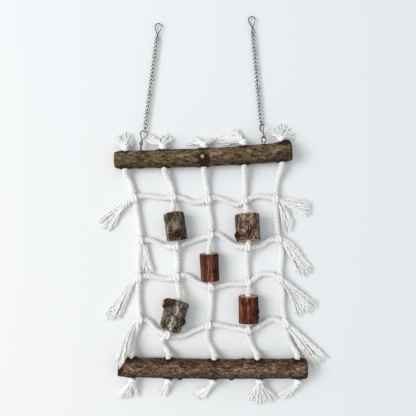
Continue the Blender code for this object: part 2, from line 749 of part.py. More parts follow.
def hook_path():
    """Bent wire of a snap hook in its own plane, nose first, and the two ends of its gate."""
    bow = HOOK_LENGTH - 2 * HOOK_WIRE_RADIUS - HOOK_EYE_RADIUS - HOOK_BOW_RADIUS
    path = []
    turns = 7
    for i in range(turns + 1):
        angle = HOOK_NOSE_ANGLE + (math.pi - HOOK_NOSE_ANGLE) * i / turns
        path.append((HOOK_BOW_RADIUS * math.cos(angle), bow + HOOK_BOW_RADIUS * math.sin(angle)))
    turns = 5
    for i in range(turns + 1):
        angle = math.pi + math.pi * i / turns
        path.append((HOOK_EYE_RADIUS * math.cos(angle), HOOK_EYE_RADIUS * math.sin(angle)))
    nose = Vector(path[0])
    heel = Vector((HOOK_EYE_RADIUS, 0.0))
    lean = (nose - heel).normalized()
    path.append(tuple(heel + lean * HOOK_GATE_START))
    gate = (heel + lean * (HOOK_GATE_START + FIT * 1.3), nose - lean * FIT * 2.2)
    return path, gate


def hook(name, eye, along, across):
    """A snap hook and its gate; eye is the middle of the small end, along points to the wide bow."""
    path, gate = hook_path()
    points = [eye + across * u + along * v for u, v in path]
    frame = tube(name, points, [HOOK_WIRE_RADIUS] * len(points), 1, PARTS)
    ends = [eye + across * u + along * v for u, v in gate]
    bar = tube(name + "_gate", ends, [HOOK_WIRE_RADIUS * 0.9] * 2, 1, PARTS)
    return frame, bar, ends[0]


def link(name, foot, along, across, lift, first, last):
    """A twisted chain link between its foot bend and its head bend, which are turned by first and last."""
    half = LINK_WIDTH / 2 - LINK_WIRE_RADIUS
    length = LINK_LENGTH - 2 * LINK_WIRE_RADIUS
    steep = math.radians(67.5)
    shallow = math.radians(22.5)
    rise = half * (1 - math.sin(shallow) / math.sin(steep))
    outline = []
    for side in (1, -1):
        wide = side * half * math.cos(shallow)
        narrow = side * half * math.cos(steep)
        leg = [(narrow, 0.0), (wide, rise), (wide, length - rise), (narrow, length)]
        outline += leg if side > 0 else leg[::-1]
    points = []
    for out, s in outline:
        angle = first + (last - first) * s / length
        points.append(foot + along * s + (across * math.cos(angle) + lift * math.sin(angle)) * out)
    return tube(name, points, [LINK_WIRE_RADIUS] * len(points), 0, PARTS, cyclic=True)


def chain(side):
    """Lower hook, five stretches of chain and upper hook of one hanger, with the pivots between them."""
    x, ring_turn, hook_turn, hook_far, chain_far = CHAINS[side]
    middle, ring_axis = ring_frame(x, ring_turn)
    ground = LINK_WIDTH / 2 + FIT
    reach = flat(hook_far, ground)
    along = (reach - middle).normalized()
    in_ring = (along - ring_axis * along.dot(ring_axis)).normalized()
    contact = middle + in_ring * RING_RADIUS
    grip = RING_WIRE_RADIUS + HOOK_WIRE_RADIUS + FIT
    along = (reach - contact).normalized()
    eye = contact + along * (HOOK_EYE_RADIUS - grip)
    level = Vector((0.0, 0.0, 1.0)).cross(along).normalized() * -1
    upward = level.cross(along)
    angle = math.radians(hook_turn)
    across = level * math.cos(angle) - upward * math.sin(angle)
    lower, lower_gate, lower_heel = hook(f"lower_hook_{side}", eye, along, across)
    bow = eye + along * (HOOK_LENGTH - 2 * HOOK_WIRE_RADIUS - HOOK_EYE_RADIUS)

    line = flat(chain_far, ground) - bow
    line.z = 0.0
    line.normalize()
    lateral = Vector((line.y, -line.x, 0.0))
    lift = Vector((0.0, 0.0, 1.0))
    foot = bow - line * (HOOK_WIRE_RADIUS + LINK_WIRE_RADIUS + FIT)
    first = math.atan2(across.dot(lift), across.dot(lateral)) + math.pi / 2
    length = LINK_LENGTH - 2 * LINK_WIRE_RADIUS
    stretches = []
    pivots = [bow.copy()]
    for i in range(STRETCHES):
        links = []
        for j in range(LINKS_PER_STRETCH):
            last = math.pi / 2
            start = first if i + j == 0 else 0.0
            links.append(link(f"chain_{side}_{i + 1}_{j}", foot, line, lateral, lift, start, last))
            bite = -LINK_BITE if j < LINKS_PER_STRETCH - 1 else FIT
            head = foot + line * length
            foot = head - line * (2 * LINK_WIRE_RADIUS + bite)
        stretch = combine(links[0], links[1:], "UNION")
        stretch.name = f"chain_{side}_{i + 1}"
        stretches.append(stretch)
        pivots.append(head.copy() if i % 2 == 0 else foot.copy())
    grip = HOOK_WIRE_RADIUS + LINK_WIRE_RADIUS + FIT
    pivots[-1] = head.copy()
    eye = head - line * (grip - HOOK_EYE_RADIUS)
    upper, upper_gate, upper_heel = hook(f"upper_hook_{side}", eye, line, lateral)
    return {
        "lower": (lower, lower_gate, middle, lower_heel),
        "stretches": stretches,
        "pivots": pivots,
        "upper": (upper, upper_gate, pivots[-1], upper_heel),
    }


def empty_at(name, point, parent=None):
    """A plain empty that carries a body on its joint."""
    made = bpy.data.objects.new(name, None)
    PARTS.objects.link(made)
    made.parent = parent
    made.location = point - (parent.matrix_world.translation if parent else Vector())
    bpy.context.view_layer.update()
    return made


def carry(made, pivot, parent, material):
    """Give a piece its origin on its joint, its parent and its material."""
    made.data.transform(Matrix.Translation(-pivot))
    made.parent = parent
    made.location = pivot - parent.matrix_world.translation
    made.data.materials.clear()
    made.data.materials.append(material)
    made.data.shade_smooth()
    made.data.set_sharp_from_angle(angle=math.radians(40.0))
    bpy.context.view_layer.update()


ORIGIN = Vector((0.0, 0.0, 0.0))
net = empty_at("climbing_net", ORIGIN)
fold = empty_at("lower_net", Vector((0.0, FOLD_LINE[0] * DOWN, FOLD_LINE[1] * MM)), net)

# Bars
carry(top_bar(), ORIGIN, net, new_material("top_bar_bark", (0.075, 0.055, 0.036), 0.85))
carry(bottom_bar(), ORIGIN, fold, new_material("bottom_bar_bark", (0.09, 0.05, 0.035), 0.85))

# Ropes
for column in range(len(UPRIGHTS)):
    upper, free, lower = upright_rope(column)
    carry(upper, ORIGIN, net, COTTON)
    carry(free, ORIGIN, net, COTTON)
    carry(lower, ORIGIN, fold, COTTON)
for row in range(len(CROSS_ROPES)):
    for piece in cross_rope(row):
        carry(piece, ORIGIN, net if row < 2 else fold, COTTON)

# Beads
for name, owner, colour in (
    ("bead_1", net, (0.10, 0.05, 0.03)),
    ("bead_2", net, (0.09, 0.05, 0.035)),
    ("bead_3", fold, (0.12, 0.05, 0.03)),
    ("bead_4", fold, (0.11, 0.09, 0.07)),
    ("bead_5", fold, (0.14, 0.05, 0.025)),
):
    head, tail, _ = bead_axis(name)
    carry(bead(name), (head + tail) / 2, owner, new_material(name + "_bark", colour, 0.8))

# Screw eyes, hooks and chains
for side, (x, ring_turn, *_) in CHAINS.items():
    carry(screw_eye(f"screw_eye_{side}", x, ring_turn), ORIGIN, net, STEEL)
    made = chain(side)
    frame, gate, pivot, heel = made["lower"]
    holder = empty_at(f"lower_hook_{side}_pivot", pivot, net)
    carry(frame, pivot, holder, STEEL)
    carry(gate, heel, holder, STEEL)
    for i, stretch in enumerate(made["stretches"]):
        holder = empty_at(f"chain_{side}_{i + 1}_pivot", made["pivots"][i], holder)
        carry(stretch, made["pivots"][i], holder, STEEL)
    frame, gate, pivot, heel = made["upper"]
    holder = empty_at(f"upper_hook_{side}_pivot", pivot, holder)
    carry(frame, pivot, holder, STEEL)
    carry(gate, heel, holder, STEEL)
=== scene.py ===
import json
import math

import bmesh
import bpy
import numpy as np
from mathutils import Matrix, Vector, noise

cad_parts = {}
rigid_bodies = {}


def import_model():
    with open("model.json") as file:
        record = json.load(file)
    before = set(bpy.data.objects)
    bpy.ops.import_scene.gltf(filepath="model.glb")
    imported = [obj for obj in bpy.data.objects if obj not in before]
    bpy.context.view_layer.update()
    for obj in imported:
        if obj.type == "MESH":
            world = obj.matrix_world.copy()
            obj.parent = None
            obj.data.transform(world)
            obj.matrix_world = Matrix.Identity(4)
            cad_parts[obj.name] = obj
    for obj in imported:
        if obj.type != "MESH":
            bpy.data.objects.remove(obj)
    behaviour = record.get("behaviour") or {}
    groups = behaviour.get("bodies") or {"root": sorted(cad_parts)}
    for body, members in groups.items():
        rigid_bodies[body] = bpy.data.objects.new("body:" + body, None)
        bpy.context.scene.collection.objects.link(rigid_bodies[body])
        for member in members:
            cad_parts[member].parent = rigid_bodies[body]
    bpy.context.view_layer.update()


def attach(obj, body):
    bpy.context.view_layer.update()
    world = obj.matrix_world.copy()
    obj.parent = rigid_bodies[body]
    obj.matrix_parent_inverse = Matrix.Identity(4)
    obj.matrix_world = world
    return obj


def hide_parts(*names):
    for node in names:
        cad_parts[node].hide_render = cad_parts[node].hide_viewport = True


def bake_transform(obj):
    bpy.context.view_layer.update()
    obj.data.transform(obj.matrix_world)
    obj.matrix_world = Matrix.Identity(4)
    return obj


for spare in list(bpy.data.objects):
    bpy.data.objects.remove(spare, do_unlink=True)
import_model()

# Top bar: a straight branch with its bark on, drilled through for the five upright ropes and bored for
# the two screw eyes. One side twig is sawn off on top and one beside the right end, and dark bark has
# swollen up round both.
MM = 0.001
UP = np.array([0.0, 0.0, 1.0])
CHAINWARD = np.array([0.0, 1.0, 0.0])
TOP_BAR = np.array([
    (-128.3, 66.8, 10.4), (-95.0, 67.8, 10.7), (-63.3, 68.8, 11.0), (-11.3, 70.5, 11.4),
    (42.0, 73.3, 11.9), (80.0, 76.3, 12.3), (105.7, 78.5, 12.5),
]) * MM
TOP_HOLES = [(-114.9, -115.1), (-63.1, -65.0), (-10.5, -10.7), (42.7, 41.8), (92.9, 92.2)]
EYE_XS = [-93.7, 69.2]
ROPE_HOLE = 4.05 * MM
HOLE_REACH = 1.4
HOLE_AROUND = 36
PILOT_HOLE = 1.6 * MM
PILOT_DEPTH = 12 * MM
TWIG_X = -12.0 * MM
SIDE_TWIG_X = 98.0 * MM
RIGHT_END_X = 104.6 * MM
END_RINGS = (0.22, 0.45, 0.65, 0.82, 0.93)


def unit(vectors):
    """The same directions at length one."""
    return vectors / np.linalg.norm(vectors, axis=-1, keepdims=True)


def smooth_line(points):
    """Close points on a smooth line through the given ones."""
    points = np.asarray(points, float)
    padded = np.vstack([2 * points[0] - points[1], points, 2 * points[-1] - points[-2]])
    line = []
    for p0, p1, p2, p3 in zip(padded, padded[1:], padded[2:], padded[3:]):
        t1 = math.sqrt(np.linalg.norm(p1 - p0))
        t2 = t1 + math.sqrt(np.linalg.norm(p2 - p1))
        t3 = t2 + math.sqrt(np.linalg.norm(p3 - p2))
        count = max(4, round(np.linalg.norm(p2 - p1) / MM))
        t = (t1 + (t2 - t1) * np.arange(count) / count)[:, None]
        a1 = p0 * (t1 - t) / t1 + p1 * t / t1
        a2 = p1 * (t2 - t) / (t2 - t1) + p2 * (t - t1) / (t2 - t1)
        a3 = p2 * (t3 - t) / (t3 - t2) + p3 * (t - t2) / (t3 - t2)
        b1 = a1 * (t2 - t) / t2 + a2 * t / t2
        b2 = a2 * (t3 - t) / (t3 - t1) + a3 * (t - t1) / (t3 - t1)
        line.append(b1 * (t2 - t) / (t2 - t1) + b2 * (t - t1) / (t2 - t1))
    return np.vstack(line + [points[-1:]])


def spaced(line, step):
    """A line with its points one step apart, and the length run at each of them."""
    run = np.concatenate([[0.0], np.cumsum(np.linalg.norm(np.diff(line, axis=0), axis=1))])
    at = np.linspace(0.0, run[-1], max(2, round(run[-1] / step)) + 1)
    return np.column_stack([np.interp(at, run, line[:, i]) for i in range(3)]), at


def bar_at(bar, x):
    """Middle and radius of a bar at x."""
    radius = np.interp(x, bar[:, 0], bar[:, 2])
    return np.array([x, np.interp(x, bar[:, 0], bar[:, 1]), radius]), radius


def rope_hole(bar, xs, outward):
    """Middle, direction out of the net and bar radius of a drilled rope hole."""
    middle, radius = bar_at(bar, (xs[0] + xs[1]) / 2 * MM)
    return middle, unit(np.array([(xs[1] - xs[0]) * MM, outward * 2 * radius, 0.0])), radius


def put(name, verts, faces):
    """A new piece with this mesh."""
    mesh = bpy.data.meshes.new(name)
    mesh.from_pydata(np.asarray(verts).tolist(), [], faces)
    mesh.update()
    piece = bpy.data.objects.new(name, mesh)
    bpy.context.scene.collection.objects.link(piece)
    return piece


def directions(line, reference=UP, closed=False):
    """Directions to the side and up at each point of a line, square to it."""
    ahead = np.roll(line, -1, axis=0) - np.roll(line, 1, axis=0) if closed else np.gradient(line, axis=0)
    ahead = unit(ahead)
    side = unit(np.cross(np.broadcast_to(reference, line.shape), ahead))
    return side, np.cross(ahead, side)


def ring_faces(count, around, closed=False):
    """Faces between rings of points in a row; in a closed row the last ring meets the first."""
    i = np.arange(count if closed else count - 1)[:, None]
    j = np.arange(around)[None, :]
    k = (j + 1) % around
    n = (i + 1) % count
    corners = [i * around + j, i * around + k, n * around + k, n * around + j]
    return np.stack(corners, axis=-1).reshape(-1, 4).tolist()


def log(name, axis, radii, around):
    """A round log with sawn ends, before it is drilled and its bark is roughened."""
    side, up = directions(axis)
    turn = np.linspace(0.0, 2 * math.pi, around, endpoint=False)[None, :, None]
    rim = np.cos(turn) * side[:, None] + np.sin(turn) * up[:, None]
    rings = [axis[0] + radii[0] * share * rim[0] for share in END_RINGS]
    rings += list(axis[:, None] + radii[:, None, None] * rim)
    rings += [axis[-1] + radii[-1] * share * rim[-1] for share in END_RINGS[::-1]]
    faces = ring_faces(len(rings), around)
    foot = len(rings) * around
    last = foot - around
    for j in range(around):
        k = (j + 1) % around
        faces.append((foot, k, j))
        faces.append((foot + 1, last + j, last + k))
    return put(name, np.vstack(rings + [axis[:1], axis[-1:]]), faces)


def drill(piece, holes):
    """Cut round holes, each given by its middle, direction, radius and reach either way."""
    for middle, direction, radius, reach in holes:
        mesh = bpy.data.meshes.new("drill")
        work = bmesh.new()
        turn = Vector(direction).to_track_quat("Z", "Y").to_matrix().to_4x4()
        bmesh.ops.create_cone(work, cap_ends=True, segments=HOLE_AROUND, radius1=radius, radius2=radius,
                              depth=2 * reach, matrix=Matrix.Translation(Vector(middle)) @ turn)
        work.to_mesh(mesh)
        work.free()
        bit = bpy.data.objects.new("drill", mesh)
        bpy.context.scene.collection.objects.link(bit)
        step = piece.modifiers.new("drill", "BOOLEAN")
        step.operation = "DIFFERENCE"
        step.solver = "EXACT"
        step.object = bit
        bpy.context.view_layer.update()
        drilled = piece.evaluated_get(bpy.context.evaluated_depsgraph_get())
        cut = bpy.data.meshes.new_from_object(drilled)
        cut.name = piece.name
        piece.modifiers.clear()
        piece.data = cut
        bpy.data.objects.remove(bit, do_unlink=True)
    return piece


def fade(distance, inner, outer):
    """One inside the inner distance, falling smoothly to nothing at the outer one."""
    share = np.clip((outer - distance) / (outer - inner), 0.0, 1.0)
    return share * share * (3 - 2 * share)


def read_points(piece):
    """The piece's points as rows of numbers."""
    found = np.zeros(len(piece.data.vertices) * 3)
    piece.data.vertices.foreach_get("co", found)
    return found.reshape(-1, 3)


def write_points(piece, points):
    """Move the piece's points to these places."""
    piece.data.vertices.foreach_set("co", points.ravel())
    piece.data.update()


def paint(piece, name, values):
    """Keep one number per point for the finish to read."""
    kept = piece.data.attributes.new(name, "FLOAT", "POINT")
    kept.data.foreach_set("value", np.asarray(values, np.float32))


def noise_at(points, size, shift=0.0):
    """Smooth noise at each point, with hills of about the given size."""
    return np.array([noise.noise(Vector(p) / size + Vector((shift, 0, 0))) for p in points])


# How wide and long the bark's grain and its slow waves are, and where bark, rim and sawn wood begin and end,
# as shares of the radius.
GRAIN_WIDTH = 2.6 * MM
GRAIN_LENGTH = 11 * MM
WAVE_WIDTH = 13 * MM
WAVE_LENGTH = 30 * MM
CRACK_WIDTH = 0.13
CHIP = 2.2 * MM
RAGGED = 3 * MM
BAND_WANDER = 9 * MM
STUB_RISE = 1.3 * MM
GROUND_GAP = 0.03 * MM
BARK_FROM = 0.965
RIM_TO = 0.962
SAWN_TO = 0.9
HOLE_LIP = 0.005
FAR_FROM_HOLES = 9.0


def weather(piece, axis, radii, holes, twigs, relief, seed, stains, painted_light_bands, burr=0.0):
    """Roughen the bark, swell it round the sawn twigs, tear it at the holes, mark the sawn wood and paint
    light and shade on it.
    """
    points = read_points(piece)
    ahead = unit(axis[-1] - axis[0])
    along_axis = (axis - axis[0]) @ ahead
    along = (points - axis[0]) @ ahead
    middle = np.column_stack([np.interp(along, along_axis, axis[:, i]) for i in range(3)])
    radius = np.interp(along, along_axis, radii)
    away = points - middle
    away -= np.outer(away @ ahead, ahead)
    reach = np.linalg.norm(away, axis=1)
    outward = away / np.maximum(reach, 1e-9)[:, None]
    from_hole = np.full(len(points), FAR_FROM_HOLES)
    for centre, direction, size, _ in holes:
        off = points - centre
        off -= np.outer(off @ direction, direction)
        from_hole = np.minimum(from_hole, np.linalg.norm(off, axis=1) / size - 1.0)
    bark = (reach > BARK_FROM * radius) & (from_hole > HOLE_LIP)
    lift = np.zeros(len(points))
    groove = np.zeros(len(points))
    for i in np.nonzero(bark)[0]:
        bare = Vector(outward[i] * radius[i])
        spot = bare / GRAIN_WIDTH + Vector(ahead) * (along[i] / GRAIN_LENGTH + seed)
        wide = bare / WAVE_WIDTH + Vector(ahead) * (along[i] / WAVE_LENGTH + seed * 2)
        rough = noise.fractal(spot, 0.75, 2.1, 4)
        seam = abs(noise.fractal(spot * 0.8 + Vector((9, 4, 2)), 0.9, 2.0, 2))
        crack = max(0.0, 1.0 - seam / CRACK_WIDTH)
        lift[i] = relief * (0.35 + 0.55 * rough + 0.75 * noise.noise(wide) - 0.65 * crack)
        groove[i] = min(1.0, max(0.0, 0.75 * crack - 0.6 * rough))
    scar = np.zeros(len(points))
    sawn = np.where((reach < SAWN_TO * radius) & (from_hole > HOLE_LIP), 1.0, 0.0)
    rim = np.where((reach < RIM_TO * radius) & (reach >= SAWN_TO * radius), 1.0, 0.0)
    ragged = 1.0 + 0.45 * noise_at(points, RAGGED)
    for spot, size, swell, stub, dark in twigs:
        gap = np.linalg.norm(points - spot, axis=1)
        collar = fade(gap, 0.45 * size, size) * bark
        lift = lift * (1 - 0.6 * collar) + swell * collar
        if stub:
            lift += STUB_RISE * (fade(gap, 0.8 * stub, 1.15 * stub) * bark)
            sawn = np.maximum(sawn, fade(gap, 0.7 * stub, 0.95 * stub) * bark)
        scar = np.maximum(scar, dark * fade(gap * ragged, 0.55 * size, 1.15 * size) * bark)
    for spot, size, dark in stains:
        gap = np.linalg.norm((points - spot) / size, axis=1)
        scar = np.maximum(scar, dark * fade(gap * ragged, 0.7, 1.1))
    chips = noise_at(points, CHIP, seed)
    torn = fade(from_hole + 0.9 * chips, 0.75, 1.45) * bark
    scar = np.maximum(scar, torn)
    lift += (burr * (1.0 + 1.2 * chips) - 0.4 * relief) * torn
    # Painted light and shade: bands across the piece, lighter where the lamp lights it and darker on its
    # shaded side.
    across = away @ np.cross(UP, ahead) / radius
    across += 0.14 * np.array([noise.noise(Vector((a / BAND_WANDER, seed, 0.0))) for a in along])
    painted_light = np.zeros(len(points))
    for place, width, strength in painted_light_bands:
        painted_light += strength * np.exp(-((across - place) / width) ** 2)
    points += outward * (lift * bark)[:, None]
    points[:, 2] = np.maximum(points[:, 2], GROUND_GAP)
    write_points(piece, points)
    paint(piece, "groove", groove)
    paint(piece, "scar", np.clip(scar, 0.0, 1.0))
    paint(piece, "painted_light", painted_light)
    paint(piece, "sawn", sawn)
    paint(piece, "rim", rim)
    paint(piece, "ring", reach / MM)
    piece.data.shade_smooth()
    piece.data.set_sharp_from_angle(angle=math.radians(50.0))
    piece.data.update()


def plug(tree, made, sockets):
    """Give a node's sockets a plain number or colour, or what another node gives."""
    for key, value in sockets.items():
        socket = made.inputs[key]
        if isinstance(value, bpy.types.NodeSocket):
            tree.links.new(value, socket)
        elif socket.type == "RGBA":
            socket.default_value = (*value, 1.0)
        else:
            socket.default_value = value


def node(tree, kind, sockets=None, **values):
    """A new node with these values, and these sockets plugged."""
    made = tree.nodes.new(kind)
    for key, value in values.items():
        setattr(made, key, value)
    plug(tree, made, sockets or {})
    return made


def blank_finish(name):
    """A new finish, its nodes, its shader and the place on the piece for its textures."""
    finish = bpy.data.materials.new(name)
    finish.use_nodes = True
    tree = finish.node_tree
    return finish, tree, tree.nodes["Principled BSDF"], node(tree, "ShaderNodeTexCoord").outputs["Object"]


def speckle(tree, spot, scale, detail, rough=0.5):
    """Fine noise from nought to one."""
    sockets = {"Vector": spot, "Scale": scale, "Detail": detail, "Roughness": rough}
    return node(tree, "ShaderNodeTexNoise", sockets).outputs["Fac"]


def ramp(tree, value, *stops):
    """The colour at a value between stops, each a value and its colour."""
    made = node(tree, "ShaderNodeValToRGB", {"Fac": value})
    bar = made.color_ramp
    while len(bar.elements) < len(stops):
        bar.elements.new(0.5)
    for element, (place, colour) in zip(bar.elements, stops):
        element.position = place
        element.color = (*colour, 1.0)
    return made.outputs["Color"]


def mixed(tree, factor, first, second, mode="MIX"):
    """The first colour with the second laid over it by the factor."""
    sockets = {0: factor, 6: first, 7: second}
    return node(tree, "ShaderNodeMix", sockets, data_type="RGBA", blend_type=mode).outputs[2]


def layer(tree, name):
    """The number painted on the piece under this name."""
    return node(tree, "ShaderNodeAttribute", attribute_name=name).outputs["Fac"]


def sum_of(tree, operation, *values):
    """The result of one sum."""
    return node(tree, "ShaderNodeMath", dict(enumerate(values)), operation=operation).outputs["Value"]


def ranged(tree, value, low, high):
    """A value from nought to one, moved to between low and high."""
    sockets = {"Value": value, "To Min": low, "To Max": high}
    return node(tree, "ShaderNodeMapRange", sockets).outputs["Result"]


def bumps(tree, height, strength, distance):
    """Fine relief for the shader alone."""
    sockets = {"Height": height, "Strength": strength, "Distance": distance}
    return node(tree, "ShaderNodeBump", sockets).outputs["Normal"]


def toned(colour, share):
    """A colour made darker or lighter by a share."""
    return tuple(share * c for c in colour)


SAWN = (0.60, 0.43, 0.26)
BLACK = (0.0, 0.0, 0.0)
WHITE = (1.0, 1.0, 1.0)
PALE_CRACKS = 0.24
DARK_CRACKS = 0.04


def bark_finish(name, along, streak, dark, mid, light, moss, scar, sawn=SAWN, cracks=PALE_CRACKS):
    """Weathered bark over pale sawn wood; the grain runs along an axis and streaks the colour on it."""
    finish, tree, shader, spot = blank_finish(name)

    def grain(scale, detail, rough, stretch):
        sizes = [1.0 / stretch if axis == along else 1.0 for axis in "XYZ"]
        place = node(tree, "ShaderNodeMapping", {"Vector": spot, "Scale": sizes})
        return speckle(tree, place.outputs["Vector"], scale, detail, rough)

    fine = grain(360, 9, 0.8, streak)
    colour = ramp(tree, fine, (0.40, dark), (0.49, mid), (0.60, light))
    patches = ramp(tree, grain(90, 4, 0.6, streak), (0.44, BLACK), (0.62, toned(WHITE, 0.6)))
    colour = mixed(tree, patches, colour, moss)
    crack = (cracks, 0.8 * cracks, 0.67 * cracks)
    opened = 0.62 - 0.2 * (PALE_CRACKS - cracks)
    blotch = ramp(tree, grain(150, 7, 0.75, streak), (0.46, WHITE), (opened, crack))
    colour = mixed(tree, 0.9, colour, blotch, "MULTIPLY")
    flecks = ramp(tree, speckle(tree, spot, 800, 3), (0.63, BLACK), (0.7, toned(WHITE, 0.7)))
    colour = mixed(tree, flecks, colour, toned(light, 1.25))
    # Painted light and shade: the colour is scaled up or down by the painted bands.
    banded = {"Vector": colour, "Scale": sum_of(tree, "POWER", 3.0, layer(tree, "painted_light"))}
    colour = node(tree, "ShaderNodeVectorMath", banded, operation="SCALE").outputs["Vector"]
    reddish = ramp(tree, speckle(tree, spot, 420, 5, 0.7), (0.38, toned(scar, 0.25)), (0.62, scar))
    colour = mixed(tree, layer(tree, "scar"), colour, reddish)
    colour = mixed(tree, layer(tree, "groove"), colour, toned(dark, 0.25))
    colour = mixed(tree, layer(tree, "rim"), colour, tuple(0.5 * c + 0.5 * s for c, s in zip(mid, sawn)))
    years = sum_of(tree, "MULTIPLY", layer(tree, "ring"), 4.2)
    years = sum_of(tree, "MULTIPLY_ADD", speckle(tree, spot, 120, 4, 0.6), 9.0, years)
    grown = ramp(tree, sum_of(tree, "SINE", years), (0.0, sawn), (0.9, toned(sawn, 0.66)))
    pores = ramp(tree, speckle(tree, spot, 500, 6, 0.7), (0.35, (0.6, 0.55, 0.5)), (0.6, WHITE))
    wood = mixed(tree, 0.6, grown, pores, "MULTIPLY")
    plug(tree, shader, {
        "Base Color": mixed(tree, layer(tree, "sawn"), colour, wood),
        "Roughness": ranged(tree, fine, 0.7, 0.98),
        "Specular IOR Level": 0.25,
        "Normal": bumps(tree, grain(900, 8, 0.75, 2.5), 0.55, 0.0006),
    })
    return finish


BAR_STEP = 0.9 * MM
BAR_AROUND = 90
BAR_RELIEF = 0.6 * MM
BURR = 1.0 * MM
END_WEAR = 3.5 * MM
END_ROUND = 0.09


def bar_log(name, bar, plump, holes, twigs, seed, stains, painted_light_bands):
    """A drilled and weathered bar, a little plumper than its plain log at either end as given."""
    axis, run = spaced(smooth_line(bar), BAR_STEP)
    wear_and_shade = np.maximum(0.0, 1.0 - np.minimum(run, run[-1] - run) / END_WEAR)
    radii = axis[:, 2] * np.interp(run, (0.0, run[-1]), plump) * (1.0 - END_ROUND * wear_and_shade ** 2)
    made = drill(log(name, axis, radii, BAR_AROUND), holes)
    weather(made, axis, radii, holes, twigs, BAR_RELIEF, seed, stains, painted_light_bands, BURR)
    return made


def rope_drillings(bar, holes, outward):
    """The rope holes of a bar, each drilled right through it."""
    drillings = []
    for xs in holes:
        middle, direction, radius = rope_hole(bar, xs, outward)
        drillings.append((middle, direction, ROPE_HOLE, radius * HOLE_REACH))
    return drillings


def stains_from(middle, stains):
    """Stains in mm from a middle, each with its place, its reach and how dark it is."""
    return [(middle + np.array(spot) * MM, np.array(reach) * MM, dark) for spot, reach, dark in stains]


top_holes = rope_drillings(TOP_BAR, TOP_HOLES, 1)
for x in EYE_XS:
    middle, radius = bar_at(TOP_BAR, x * MM)
    top_holes.append((middle + CHAINWARD * radius, CHAINWARD, PILOT_HOLE, PILOT_DEPTH))
twig, twig_radius = bar_at(TOP_BAR, TWIG_X)
side_twig, side_radius = bar_at(TOP_BAR, SIDE_TWIG_X)
right_end, _ = bar_at(TOP_BAR, RIGHT_END_X)
top_twigs = [
    (twig + twig_radius * unit(np.array([0.0, 0.02, 1.0])), 7.6 * MM, 1.0 * MM, 2.8 * MM, 1.0),
    (side_twig + side_radius * unit(np.array([0.0, 1.0, 0.3])), 8.0 * MM, 2.8 * MM, 0.0, 1.0),
]
top_stains = stains_from(twig, [
    ((6.5, -3.5, 10.5), (4.5, 8.0, 6.0), 0.95),
    ((-1.0, -6.0, 8.5), (5.0, 3.5, 5.0), 0.8),
])
top_stains += stains_from(right_end, [((0.0, 6.0, 9.0), (2.2, 9.0, 9.0), 0.85)])
# Bands of painted light and shade across the top bar: where across it, how wide and how strong.
top_painted_light_bands = [(0.35, 0.35, 0.15), (-0.8, 0.3, -0.45), (0.95, 0.12, -0.3)]
top_bar = bar_log("top_bar_bark", TOP_BAR, (1.085, 1.01), top_holes, top_twigs, 3.0, top_stains, top_painted_light_bands)
top_bar.data.materials.append(bark_finish(
    "top_bar_bark", "X", 2.6, (0.025, 0.016, 0.008), (0.138, 0.091, 0.046), (0.37, 0.27, 0.165),
    (0.172, 0.120, 0.052), (0.050, 0.012, 0.004), (0.50, 0.32, 0.19)))
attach(top_bar, "upper_net")
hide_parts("top_bar")

# Bottom bar: a second branch, redder and rougher, drilled like the first. Its left end is cut off on a
# slant that has gone dark, and small buds and twig scars stand along it.
BOTTOM_BAR = np.array([
    (-124.0, -207.3, 11.9), (-95.0, -207.9, 12.3), (-55.3, -208.8, 12.6), (3.3, -210.1, 12.4),
    (60.7, -209.5, 12.5), (95.0, -209.5, 12.5), (126.0, -209.5, 12.5),
]) * MM
BOTTOM_HOLES = [(-105.6, -105.6), (-57.0, -57.3), (3.5, 2.0), (60.6, 63.0), (113.6, 114.0)]
# Each bud: where along the bar, which way it faces across it, its size and how far it stands out, in mm.
BUDS = [
    (-64.7, 0.75, 4.2, 1.3), (-42.0, -0.9, 4.4, 2.2), (3.3, 0.62, 4.0, 1.2), (41.3, 0.97, 4.2, 2.2),
    (26.0, -0.98, 4.2, 1.9), (65.3, -0.45, 3.4, 1.2), (90.0, 0.3, 2.2, 0.7), (98.0, 0.55, 2.2, 0.7),
    (104.0, -0.2, 2.4, 0.7), (-16.0, -0.2, 2.0, 0.6), (-84.0, 0.35, 2.4, 0.7), (-101.0, 0.98, 4.0, 1.8),
]
SLANT = unit(np.array([-1.0, 0.15, 0.8]))
SLANT_TOP = np.array([-115.5, -207.3, 23.8]) * MM
SLANT_END = -110.5 * MM
BUD_DARK = 0.6
END_FACE = 0.1 * MM

buds = []
for x, across, size, swell in BUDS:
    middle, radius = bar_at(BOTTOM_BAR, x * MM)
    facing = np.array([0.0, across, math.sqrt(1.0 - across * across)])
    buds.append((middle + radius * facing, size * MM, swell * MM, 0.0, BUD_DARK))
bottom_stains = stains_from(0.0, [
    ((95.0, -206.0, 22.5), (13.0, 5.5, 5.0), 0.45),
    ((122.0, -215.0, 19.0), (5.0, 8.0, 8.0), 0.7),
    ((-30.0, -204.0, 22.0), (20.0, 4.0, 5.0), 0.3),
])
